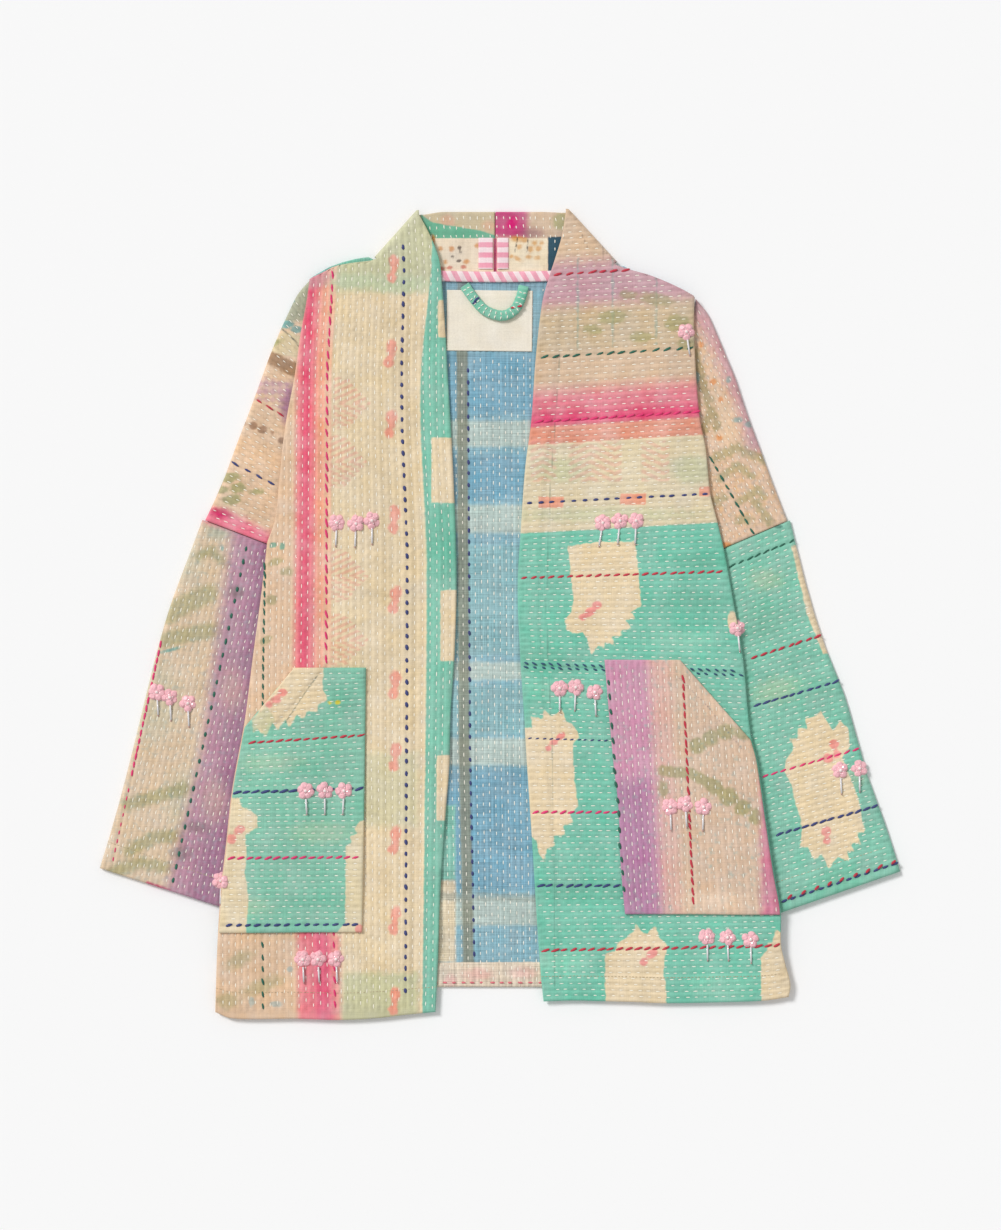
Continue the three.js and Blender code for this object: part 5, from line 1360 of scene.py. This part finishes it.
dye(made, "left_upper_sleeve_patchwork", (227, 193, 165), [
    ((150, 166, 164), np.full(len(u), -1.0), 1.6, 3, 0.4),
    ((222, 178, 116), np.full(len(u), -1.0), 1.6, 3, 0.4),
    ((200, 148, 166), stroke(at, 28, (694, 296), (722, 340), (746, 400), (758, 440)), 9, 3, 0.7),
    ((226, 196, 164), ovals(at, (722, 420, 14, 30, -20), (700, 480, 14, 20)), 8, 3, 0.6),
    ((148, 140, 96), np.maximum.reduce([
        stroke(at, 9, (694, 352), (699, 376), (708, 402)), stroke(at, 8, (709, 408), (704, 430)),
        stroke(at, 8, (712, 412), (716, 428))]), 2.4, 3.2, 0.62),
    (OLIVE, np.maximum.reduce([
        stroke(at, 9, (714, 458), (736, 448), (762, 460)), stroke(at, 8, (720, 478), (736, 466), (750, 476)),
        stroke(at, 8, (738, 502), (756, 490), (762, 496)), stroke(at, 9, (754, 502), (768, 522)),
        oval(at, 718, 500, 9, 5, -30), oval(at, 742, 520, 9, 5)]), 2.6, 3.4, 0.55),
    ((224, 146, 84), ovals(at, (700, 345, 3, 3), (712, 382, 3.4, 3), (720, 400, 3, 3), (718, 438, 3.4, 3),
                           (724, 547, 7, 5)), 1.2, 1, 0.8),
    ((138, 164, 160), ovals(at, (737, 420, 5, 3), (748, 425, 5, 3), (695, 378, 4, 6), (728, 380, 3, 3)), 1.4,
     1.2, 0.8),
], 1.2)
made = sleeve_cloths["sleeve_left_lower"]
at = places(made)[0]
dye(made, "left_lower_sleeve_patchwork", (134, 194, 172), [
    ((112, 182, 154), ovals(at, (760, 620, 20, 20), (800, 690, 30, 10, -14), (840, 880, 30, 12, -14)), 8, 4,
     0.5),
    ((184, 200, 160), ovals(at, (775, 690, 22, 12, -14), (765, 580, 16, 10), (840, 780, 26, 8, -14)), 7, 4,
     0.4),
    (CREAM, patch(at, (790, 545), (810, 545), (834, 652), (822, 654), (806, 614), (798, 580)), 0.9, 1),
    (CREAM, patch(at, (820, 711), (812, 717), (804, 718), (806, 729), (796, 727), (798, 739), (788, 738),
                  (793, 748), (786, 758), (783, 770), (791, 786), (794, 802), (799, 816), (801, 832),
                  (799, 846),
                  (807, 847), (813, 860), (820, 853), (828, 869), (836, 856), (849, 861), (845, 850),
                  (853, 851),
                  (849, 842), (860, 844), (855, 832), (864, 832), (860, 815), (857, 798), (850, 780),
                  (841, 757),
                  (849, 746), (847, 728), (839, 721), (832, 731)), 0.9, 1),
    ((236, 150, 142), ovals(at, (833, 744, 5, 5), (827, 758, 5, 5), (836, 754, 4, 4), (825, 831, 5, 5),
                            (826, 840, 4, 4)), 1, 0.8, 0.9),
    ((60, 110, 100), ovals(at, (778, 527, 4, 2), (724, 545, 4, 2)), 0.8, 0.6, 0.7),
], 1.2)


def sleeve_line(name, place, across, low, high, pitch, length, turn, seed):
    """Coloured stitches over a sleeve, along it or across it, in the part of the row from `low` to `high`."""
    _, _, side, _, outer, _, _, lines, rows_along, _ = next(one for one in sleeves if one[0] == name)
    points = sleeve_points[name]
    if rows_along:
        line = points[:, np.argmin(np.abs(through(lines) - place))]
    else:
        ends = np.linalg.norm(np.diff(smooth_line(outer)(np.linspace(0, 1, 400)), axis=0), axis=1).sum()
        line = points[np.argmin(np.abs(through([0, *lines, ends]) - place))]
    inside = line[:, 0] > side.outer_edge(line[:, 1]) + 1
    kept = line[inside & (line[:, across] > low) & (line[:, across] < high)]
    step = np.linalg.norm(np.diff(kept, axis=0), axis=1) > 0.01
    return strands(kept[:-1][step], pitch, length, turn * side.sign, seed)


for name, cloth, finish, width, height, lines in [
    ("right_lower_sleeve_green_stitches", "sleeve_right_lower", green_thread, 3.2, 1.6, [
        (0, 1, -252, 74, 12.6, 5.6, 6, 71)]),
    ("right_lower_sleeve_pink_stitches", "sleeve_right_lower", hot_pink_thread, 2.5, 1.5, [
        (-58, 1, -150, -22, 7.6, 7.4, 6, 72)]),
    ("right_lower_sleeve_pink_tail_stitches", "sleeve_right_lower", hot_pink_thread, 1.5, 1.2, [
        (-58, 1, -228, -150, 8.2, 4.6, 6, 83)]),
    ("right_upper_sleeve_navy_stitches", "sleeve_right_upper", navy_thread, 2.5, 1.5, [
        (59, 0, 190, 250, 12.4, 8.4, -8, 73)]),
    ("right_upper_sleeve_red_stitches", "sleeve_right_upper", red_thread, 2, 1.4, [
        (121, 0, 180, 250, 11.6, 8.4, -8, 74)]),
    ("left_upper_sleeve_green_stitches", "sleeve_left_upper", green_thread, 2.5, 1.5, [
        (0, 1, down(537), down(446), 9.4, 7.6, 8, 75)]),
    ("left_lower_sleeve_teal_stitches", "sleeve_left_lower", green_thread, 2, 1.4, [
        (320, 0, 190, 300, 8.4, 7, 14, 76)]),
    ("left_lower_sleeve_red_stitches", "sleeve_left_lower", red_thread, 2.8, 1.5, [
        (229, 0, 190, 360, 8.8, 8, 16, 77), (10.5, 0, 190, 366, 12.4, 6, 24, 78)]),
    ("left_lower_sleeve_navy_stitches", "sleeve_left_lower", navy_thread, 2.8, 1.5, [
        (184, 0, 190, 360, 8.4, 8.4, 14, 79), (64, 0, 190, 364, 8.4, 8, 14, 80),
        (8.5, 0, 190, 366, 9, 7, 10, 81)]),
    ("left_lower_sleeve_pink_stitches", "sleeve_left_lower", hot_pink_thread, 2.5, 1.5, [
        (119, 0, 190, 364, 8.8, 8.2, 18, 82)]),
]:
    sign = -1 if "right" in name else 1
    sewn(name, np.concatenate([sleeve_line(cloth, *line) for line in lines]), finish, sign, width, height)

topstitch("sleeve_right_cuff_stitches", sleeve_points["sleeve_right_lower"][12, 3:-3], -1, 84)
topstitch("sleeve_left_cuff_stitches", sleeve_points["sleeve_left_lower"][
    np.argmin(np.abs(through([0, 8.5, 64]) - CUFF_HEM)), 3:-3], 1, 85)

# Pockets
# Patch pockets of quilted cloth with a slanted, hemmed opening, sewn on the fronts and into the side seams.
POCKET_GAP = 0.8
POCKET_HEM = 20


def pocket(side, inner, top, slant_end, lines, rows_up, seed, tilt):
    inner_edge = smooth_table(inner)
    low_y, high_y = inner[0][0], inner[-1][0]

    def high(y):
        slant = np.clip((y - slant_end[0]) / (top[0] - slant_end[0]), 0, 1)
        end = side.outer_edge(slant_end[0]) - 1.2
        return np.where(y <= slant_end[0], side.outer_edge(y) - 1.2, mix(end, top[1], slant))

    if rows_up:
        columns = through(lines)
        levels = np.linspace(low_y, high_y, round((high_y - low_y) / (STITCH_PITCH / 4)))
    else:
        columns, levels = np.arange(92, 262, STITCH_PITCH / 4), through([low_y, *lines, high_y])

    def out_of(column, y):
        return column + (tilt(column, y) if rows_up else 0)

    def y_of(out, level):
        shift = 0 if rows_up else tilt(out, level) * ease((level - low_y) / 30) * ease((high_y - level) / 30)
        return level + shift

    plan, first, last = lattice(columns, levels, out_of, y_of, inner_edge, high)
    out, y = plan[..., 0], plan[..., 1]
    base = side.front_top(out, y) + RIB_RISE + POCKET_GAP
    to_opening = (high(y) - out) * 0.72
    opening = ease((y - slant_end[0]) / 3)
    turned = HEM_RISE * opening * ease((POCKET_HEM - to_opening) / 3)
    draw = np.random.default_rng(seed)
    phases = draw.uniform(0, STITCH_PITCH, max(len(levels), len(columns)) // 3 + 2)
    relief = quilting_on(columns, levels, rows_up, phases, seed)
    rim = ease((out - inner_edge(y)) / 3) * ease((high(y) - out) / 3)
    rim = rim * ease((y - low_y) / 3) * ease((high_y - y) / 3)
    hem_line = 0.4 * opening * np.exp(-((to_opening - POCKET_HEM) / 1.6) ** 2)
    swell = swell_of(out, y, side.sign + 40) * ease((side.outer_edge(y) - out) / 12)
    height = base + CLOTH + turned + swell + (relief - hem_line) * rim
    cut = np.dstack([*np.meshgrid(columns, levels), relief * rim])

    def under(points, inset, radius):
        lifted = swell_of(points[:, 0], points[:, 1], side.sign + 40)
        shrink = ease((side.outer_edge(points[:, 1]) - points[:, 0]) / 12)
        return side.front_top(points[:, 0], points[:, 1]) + RIB_RISE + POCKET_GAP + lifted * shrink

    closed = shell(plan.reshape(-1, 2), height.ravel(), panel_faces(first, last, len(columns)), under,
                   cut.reshape(-1, 3))
    points = np.dstack([plan, height])
    clear = rim > 0.8
    clear &= ~np.isclose(columns if rows_up else levels[:, None], np.array(lines)[:, None, None]).any(0)
    found = stitches_on(points, clear, columns, levels, rows_up, phases, draw)
    return closed, found, points


pocket_right_shell, pocket_right_rows, pocket_right_points = pocket(
    right, [(-291.6, 126.4), (-170, 124.4), (-48.6, 122.8)], (-50.4, 190), (-103.5, 232.6),
    [-284.3, -222.9, -161.3, -114.3], False, 61, lambda out, y: -0.067 * (out - 180) * ease((y + 200) / 90))
pocket_left_shell, pocket_left_rows, pocket_left_points = pocket(
    left, [(-275, 114.6), (-225, 110.4), (-179, 108.8), (-130, 103.4), (-41.4, 95.8)], (-40.2, 163.8),
    (-115, 229.4), [90, 98.5, 167, 262], True, 62,
    lambda out, y: -(y + 45) * np.interp(out, [95, 165, 250], [0.075, 0.045, 0.13]))
pockets = {}
for name, closed, found, node, sign in [
    ("pocket_right_patch", pocket_right_shell, pocket_right_rows, "pocket_right", -1),
    ("pocket_left_patch", pocket_left_shell, pocket_left_rows, "pocket_left", 1),
]:
    made = cloth_object(name, [closed], sign)
    pockets[name] = made
    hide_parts(node)
    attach(made, "root")
    sewn(name + "_stitches", found, white_thread, sign)

made = pockets["pocket_right_patch"]
at = places(made)[0]
dye(made, "right_pocket_patchwork", (138, 195, 172), [
    ((112, 182, 156), ovals(at, (300, 765, 30, 10), (310, 900, 30, 10), (345, 700, 12, 10)), 8, 4, 0.5),
    ((176, 204, 172), ovals(at, (270, 762, 30, 8), (320, 832, 30, 10), (250, 905, 20, 8)), 6, 3.5, 0.5),
    (CREAM, patch(at, (291, 666), (324, 668), (323, 688), (328, 700), (318, 704), (318, 712), (308, 710),
                  (304, 719),
                  (297, 714), (290, 728), (286, 718), (278, 730), (272, 720), (262, 734), (254, 722),
                  (262, 706),
                  (276, 690)), 0.9, 0.9),
    ((208, 204, 168), patch(at, (252, 718), (268, 706), (276, 720), (270, 728), (266, 737), (260, 726),
                            (254, 732)),
     1.2, 1, 0.85),
    ((234, 150, 142), ovals(at, (283, 692, 5, 4), (277, 699, 5, 4), (270, 704, 4, 3.4)), 1, 0.8, 0.9),
    ((86, 100, 84), stroke(at, 1.3, (318, 675), (303, 696), (286, 722)), 0.6, 0.3, 0.7),
    ((214, 200, 84), ovals(at, (330, 702, 2.6, 2), (338, 702, 3, 2.4)), 0.8, 0.5, 0.9),
    (CREAM, patch(at, (218, 798), (240, 797), (243, 806), (252, 810), (258, 816), (258, 826), (252, 830),
                  (246, 834),
                  (247, 850), (246, 872), (249, 898), (247, 934), (218, 934)), 1, 1, 0.95),
    (CREAM, patch(at, (345.5, 846), (352, 842), (350, 836), (357, 833), (354, 828), (358, 822), (366, 818),
                  (366, 938), (335, 938), (338, 930), (345, 922), (345.5, 880)), 0.9, 0.8, 0.9),
    ((234, 150, 142), ovals(at, (240, 829, 6, 4, -30), (232, 838, 5, 5), (359, 928, 4, 5)), 1, 0.8, 0.85),
], 1.2)
made = pockets["pocket_left_patch"]
at, u, _ = places(made)
dye(made, "left_pocket_patchwork", (216, 188, 164), [
    ((206, 150, 176), strip(u, 80, 138), 9, 3, 0.95),
    ((172, 122, 160), np.minimum(strip(u, 88, 132), at[1] - 780), 14, 3, 0.7),
    ((222, 170, 170), strip(u, 136, 156), 8, 3, 0.5),
    (OLIVE, np.maximum.reduce([
        ovals(at, (696, 745, 8, 8), (709, 737, 8, 8), (724, 731, 10, 8), (741, 733, 8, 6)),
        stroke(at, 11, (662, 770), (690, 773), (710, 783)),
        ovals(at, (713, 786, 10, 8, 30), (727, 796, 10, 9, 30), (741, 807, 9, 8), (754, 816, 7, 8)),
        oval(at, 662, 788, 5, 9)]), 2, 1.6, 0.7),
    ((146, 178, 172), np.full(len(u), -1.6), 1.4, 3, 0.5),
    ((206, 116, 152), np.minimum(strip(at[0], 759, 790), strip(at[1], 742, 930)), 6, 2.5, 0.8),
    ((240, 214, 190), ovals(at, (722, 700, 12, 20), (712, 900, 26, 8)), 8, 3, 0.6),
    ((100, 92, 110), stroke(at, 1.3, (676, 676), (706, 706), (740, 748)), 0.6, 0.3, 0.6),
], 1.2)


def pocket_line(points, steps, place, rows_up, turn, pitch, length, seed, low=-999, high=999):
    row = np.argmin(np.abs(steps - place))
    line = points[3:-3, row] if rows_up else points[row, :]
    step = np.append(np.linalg.norm(np.diff(line, axis=0), axis=1) > 0.01, False)
    line = line[step & (line[:, 1 if rows_up else 0] > low) & (line[:, 1 if rows_up else 0] < high)]
    return strands(line[1:-1], pitch, length, turn, seed)


pocket_places = {
    "right": (pocket_right_points, through([-291.6, -284.3, -222.9, -161.3, -114.3, -48.6])),
    "left": (pocket_left_points, through([90, 98.5, 167, 262])),
}
for side, colour, finish, width, height, lines in [
    ("right", "red", red_thread, 2.8, 1.6, [(-114.3, False, -20, 8.4, 8.6, 91)]),
    ("right", "navy", navy_thread, 3, 1.7, [(-161.3, False, -18, 8.6, 8.8, 92),
                                            (-284.3, False, -18, 9, 7, 93)]),
    ("right", "pink", hot_pink_thread, 2.7, 1.6, [(-222.9, False, -22, 8.2, 8, 94)]),
    ("left", "red", red_thread, 2.8, 1.6, [(167, True, 14, 8.6, 9, 95)]),
    ("left", "green", green_thread, 3, 1.6, [(98.5, True, 10, 13.6, 6.6, 96, -262, -56)]),
]:
    found = np.concatenate([pocket_line(*pocket_places[side], *line) for line in lines])
    sewn(f"{side}_pocket_{colour}_stitches", found, finish, -1 if side == "right" else 1, width, height)

# Sequin flowers
# Each head is five or six pink cup sequins and one more on top under a pale bead, with small knots round it.
# Its stem is a pale glossy bugle bead, with a small brown one at its foot.
def glossy(title, rgb, roughness, spread=0.25):
    """A shiny plastic or glazed bead, its colour a little different from bead to bead."""
    made, shader = mottled(title, rgb, 420, spread, roughness)
    shader.inputs["Coat Weight"].default_value = 0.5
    return made


# Each flower: where its head's middle lies in the picture, and how far its stem leans to the right.
flowers = [
    (337, 523, -0.05), (356, 524, -0.04), (372, 521, 0.0), (157, 692, 0.06), (170, 697, 0.05),
    (188, 703, 0.05),
    (306, 790, 0.05), (325, 790, 0.0), (344, 790, -0.05), (303, 958, 0.04), (318, 958, 0.05),
    (336, 958, 0.05),
    (602, 523, -0.16), (619, 521, -0.1), (635, 521, -0.04), (559, 688, 0.0), (575, 687, -0.04),
    (594, 692, 0.05),
    (669, 806, 0.04), (684, 803, 0.06), (702, 806, -0.03), (706, 936, 0.02), (726, 936, 0.05),
    (749, 938, 0.02),
    (221, 880, 0.0), (839, 770, 0.05), (858, 768, 0.02), (736, 628, 0.1), (685, 333, 0.15),
]
cloths = [back, front_right, front_left, *sleeve_cloths.values(), *pockets.values()]
top_at = top_of(*cloths)
draw = np.random.default_rng(101)
sequins, crowns, stems, feet = [], [], [], []
for number, (x, y, lean) in enumerate(flowers):
    x, y = (x - MIDDLE_X) * PIXEL_MM, down(y)
    first = draw.uniform(0, 72)
    petals = 5 if number % 3 else 6
    for k in range(petals):
        angle = math.radians(first + k * 360 / petals + draw.normal(0, 5))
        away = np.array([math.cos(angle), math.sin(angle)])
        spot = np.array([x, y]) + away * draw.uniform(4.5, 5.3)
        tilt = draw.uniform(0.2, 0.4)
        up = top_at(*spot) + 0.5 + 0.25 * (k % 2)
        sequins.append((*spot, up, *(away * tilt), 1, 1.5, draw.random()))
    up = top_at(x, y)
    sequins.append((x, y, up + 1.5, draw.normal(0, 0.1), draw.normal(0, 0.1), 1, 1.5, 0.5))
    crowns.append((x, y, up + 2.9, 0, 0, 1, 2.2, 1.0))
    for k in range(petals):
        angle = math.radians(first + (k + 0.5) * 360 / petals)
        crowns.append((x + 2.9 * math.cos(angle), y + 2.9 * math.sin(angle), up + 2.3, 0, 0, 1, 1.1, 0.5))
    top, foot = np.array([x + 7.2 * lean, y - 7.2]), np.array([x + 21 * lean, y - 20.8])
    tops = np.array([*top, top_at(*top) + 1.1]), np.array([*foot, top_at(*foot) + 1.1])
    span = tops[1] - tops[0]
    long = np.linalg.norm(span)
    stems.append((*(tops[0] + tops[1]) / 2, *(span / long), long, 0.5))
    feet.append((*(tops[1] + span / long * 1.0), *(span / long), 1.6, 0.5))
cup_sequin = laid_tree("cup_sequin", "GeometryNodeMeshCone", False, Vertices=12, Radius_Top=0.24,
                       Radius_Bottom=0.5,
                       Depth=1.0)
bugle_bead = laid_tree("bugle_bead", "GeometryNodeMeshCylinder", True, Vertices=10, Radius=0.5, Depth=1.0)
seed_bead = laid_tree("seed_bead", "GeometryNodeMeshUVSphere", True, Segments=8, Rings=6, Radius=0.5)
sewn("flower_sequins", np.array(sequins), glossy("pink_sequin", (247, 188, 196), 0.16, spread=0.4), 1, 7.2,
     7.2,
     cup_sequin)
crowns = np.array(crowns)
for title, chosen, size in [("flower_crowns", crowns[:, 7] > 0.9, 3.1),
                            ("flower_knots", crowns[:, 7] < 0.9, 1.2)]:
    sewn(title, crowns[chosen], glossy(title + "_bead", (252, 232, 230), 0.15), 1, size, size, seed_bead)
sewn("flower_stems", np.array(stems), glossy("clear_bugle_bead", (230, 228, 230), 0.1), 1, 1.7, 1.7,
     bugle_bead)
sewn("flower_feet", np.array(feet), glossy("brown_bead", (190, 150, 146), 0.25), 1, 1.5, 1.5, seed_bead)

# Label, striped bindings and hanging loop
# A bare cotton label on the back's inside, bindings of pink striped cotton over the neck and collar seams,
# and a loop rolled from quilted cloth. All are sewn down.
ON_CLOTH = 2.2
LABEL_THICK = 0.5


def label_piece():
    columns, levels = np.linspace(-39.5, 39.5, 60), np.linspace(-28, 28, 44)
    x, y = np.meshgrid(columns, levels)
    cos, sin = math.cos(math.radians(-0.6)), math.sin(math.radians(-0.6))
    plan = np.stack([-9.6 + x * cos - y * sin, 270 + x * sin + y * cos], -1)
    lies = 0.12 + 0.1 * waves(x, y, 34, 7)
    count = len(columns)
    whole = np.zeros(len(levels), int), np.full(len(levels), count - 1)
    seam = -0.16 * np.exp(-((28 - np.maximum(np.abs(y), np.abs(x) - 11.5) - 2.4) / 0.8) ** 2)
    return cloth_object("label_patch", [shell(
        plan.reshape(-1, 2), (ON_CLOTH + LABEL_THICK + lies + seam).ravel(), panel_faces(*whole, count),
        lambda p, inset, radius: np.full(len(p), ON_CLOTH), np.stack([x, y], -1).reshape(-1, 2))])


label = label_piece()
label.data.materials.append(cloth_material("label_cotton", (241, 232, 215), (), 0.35))
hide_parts("label")
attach(label, "root")


def swept(name, line, sections, sign=1):
    """A closed strip or tube along a plan line: sections are (across, height) outlines, one to each point."""
    ahead = np.gradient(line, axis=0)
    ahead /= np.linalg.norm(ahead, axis=1)[:, None]
    aside = np.stack([-ahead[:, 1], ahead[:, 0]], 1)
    around = sections.shape[1]
    plan = line[:, None] + aside[:, None] * sections[..., :1]
    points = np.concatenate([plan, sections[..., 1:]], -1).reshape(-1, 3)
    at, beyond = np.arange(around), np.roll(np.arange(around), -1)
    faces = []
    for ring in range(len(line) - 1):
        low, high = ring * around, (ring + 1) * around
        faces += np.stack([low + at, low + beyond, high + beyond, high + at], 1).tolist()
    faces += [at[::-1].tolist(), ((len(line) - 1) * around + at).tolist()]
    along = np.concatenate([[0], np.cumsum(np.linalg.norm(np.diff(line, axis=0), axis=1))])
    marks = np.stack([np.repeat(along, around), sections[..., 0].ravel()], 1)
    return cloth_object(name, [(points, faces, marks)], sign)


def half_round(count, width, height, base):
    """The outline of a folded binding: flat below and arched above."""
    turn = np.linspace(0, math.pi, 11)
    across = np.concatenate([[-width / 2 + 0.3, 0, width / 2 - 0.3], width / 2 * np.cos(turn)])
    up = np.concatenate([[base] * 3, base + height * (0.3 + 0.7 * np.sin(turn) ** 0.6)])
    return np.broadcast_to(np.stack([across, up], -1), (count, len(up), 2)).copy()


def striped(made, node, title, depth):
    dye(made, title, (247, 226, 228), [((241, 170, 187), depth, 0.45, 0.3)], 0.6)
    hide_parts(node)
    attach(made, "root")


share = np.linspace(0, 1, 150)
binding = half_round(150, 9.8, 2.5, ON_CLOTH)
binding[..., 1] += 0.18 * np.sin(share * 90)[:, None] * (binding[..., 1] > ON_CLOTH + 0.6)
neck_binding = swept("neck_binding_strip", np.stack([
    mix(-63.5, 57, share), 311.4 - 1.2 * np.sin(math.pi * share)], 1), binding)
_, u, v = places(neck_binding)
striped(neck_binding, "neck_binding", "neck_binding_stripes",
        2.4 * np.sin((u + v * 0.55) * 2 * math.pi / 10.4))
for name, x, width, thick, under in [
    ("seam_binding_right", -13.1, 13.4, 0.9, "front_right_panel"),
    ("seam_binding_left", 2.7, 10.4, 0.9, "front_left_panel"),
]:
    level = np.linspace(317.6, 346.2, 60)
    made = swept(name + "_strip", np.stack([np.full(60, x), level], 1),
                 half_round(60, width, thick, ON_CLOTH))
    u = places(made)[1]
    striped(made, name, name + "_stripes", 2 * np.sin((u - 1) * 2 * math.pi / 9.4))

loop_line = smooth_line([(-32.6, 302.4), (-24.4, 290.6), (-13.2, 279), (2, 274.4), (13.2, 279.6), (19.2, 291),
                         (21.8, 302)])(np.linspace(0, 1, 110))
loop_run = np.concatenate([[0], np.cumsum(np.linalg.norm(np.diff(loop_line, axis=0), axis=1))])
rise = mix(2.0, 4.4, ease(np.minimum(np.linspace(0, 1, 110), np.linspace(1, 0, 110)) / 0.14))
pinch = 1 - 0.05 * (0.5 + 0.5 * np.cos(loop_run * 2 * math.pi / 5.2))
turn = np.linspace(0, 2 * math.pi, 20, endpoint=False)
loop_sections = np.stack([4.9 * pinch[:, None] * np.cos(turn),
                          3.1 + (rise * pinch)[:, None] / 2 * (1 + np.sin(turn))], -1)
loop = swept("hanging_loop_tube", loop_line, loop_sections)
u = places(loop)[1]
dye(loop, "loop_teal", (136, 200, 176), [((112, 178, 152), 1.6 * np.sin(u * 2 * math.pi / 5.2) - 0.6, 1, 0.5,
                                          0.5)], 1)
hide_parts("hanging_loop")
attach(loop, "root")


def over_loop(places, turn, length, seed):
    """Short stitches over the loop's top, turned from its own direction."""
    draw = np.random.default_rng(seed)
    found = []
    for place, across in places:
        spot, before, after = ([np.interp(reach, loop_run, loop_line[:, k]) for k in (0, 1)]
                               for reach in (place, place - 1, place + 1))
        ahead = [after[k] - before[k] for k in (0, 1)]
        size, angle = math.hypot(*ahead), math.radians(turn + draw.normal(0, 12))
        ahead = [part / size for part in ahead]
        spot = [spot[0] - ahead[1] * across, spot[1] + ahead[0] * across]
        top = 3.1 + np.interp(place, loop_run, rise) * (0.5 + 0.5 * math.sqrt(1 - (across / 4.9) ** 2)) + 0.15
        cos, sin = math.cos(angle), math.sin(angle)
        found.append((*spot, top, ahead[0] * cos - ahead[1] * sin, ahead[0] * sin + ahead[1] * cos, 0, length,
                      0.5))
    return np.array(found)


sewn("loop_white_stitches", over_loop(
    [(s, a) for s in np.arange(4, loop_run[-1] - 2, 5.2) for a in (-2.2, 1.6)], 90, 3.2, 111), white_thread)
sewn("loop_navy_stitches", over_loop([(18.6, -2.1), (17.4, 0.2), (17.2, 2.3)], 84, 5, 112), navy_thread,
     width=2.2)
sewn("loop_red_stitches", over_loop([(60, 2.2), (64.5, -2.2)], 120, 5, 113), red_thread, width=2.2)

# Table, light and camera
# The jacket lies on a plain pale surface under soft, even light and is photographed from straight above.
floor_mesh = bpy.data.meshes.new("table")
floor_mesh.from_pydata([(x * 4, y * 4, -0.0006) for x, y in [(-1, -1), (1, -1), (1, 1), (-1, 1)]], [],
                       [(0, 1, 2, 3)])
floor = bpy.data.objects.new("table", floor_mesh)
bpy.context.scene.collection.objects.link(floor)
table_white = bpy.data.materials.new("table_white")
table_white.use_nodes = True
table_white.node_tree.nodes["Principled BSDF"].inputs["Base Color"].default_value = linear(252, 252, 252)
table_white.node_tree.nodes["Principled BSDF"].inputs["Roughness"].default_value = 0.9
floor.data.materials.append(table_white)

world = bpy.data.worlds.new("soft_room")
bpy.context.scene.world = world
world.use_nodes = True
world.node_tree.nodes["Background"].inputs["Color"].default_value = (1, 1, 1, 1)
world.node_tree.nodes["Background"].inputs["Strength"].default_value = 0.52
lamp = bpy.data.lights.new("soft_window", "SUN")
lamp.energy, lamp.angle = 2.1, math.radians(16)
window = bpy.data.objects.new("soft_window", lamp)
window.rotation_euler = Vector((1.0, -0.9, -1.2)).to_track_quat("-Z", "Y").to_euler()
bpy.context.scene.collection.objects.link(window)

lens = bpy.data.cameras.new("overhead")
lens.lens, lens.sensor_width = 85, 36
camera = bpy.data.objects.new("overhead", lens)
PICTURE_HEIGHT = 1230
camera.location = (0.5 * PIXEL, -0.5 * PIXEL, PICTURE_HEIGHT * PIXEL * lens.lens / lens.sensor_width)
bpy.context.scene.collection.objects.link(camera)
bpy.context.scene.camera = camera
bpy.context.scene.view_settings.view_transform = "Standard"
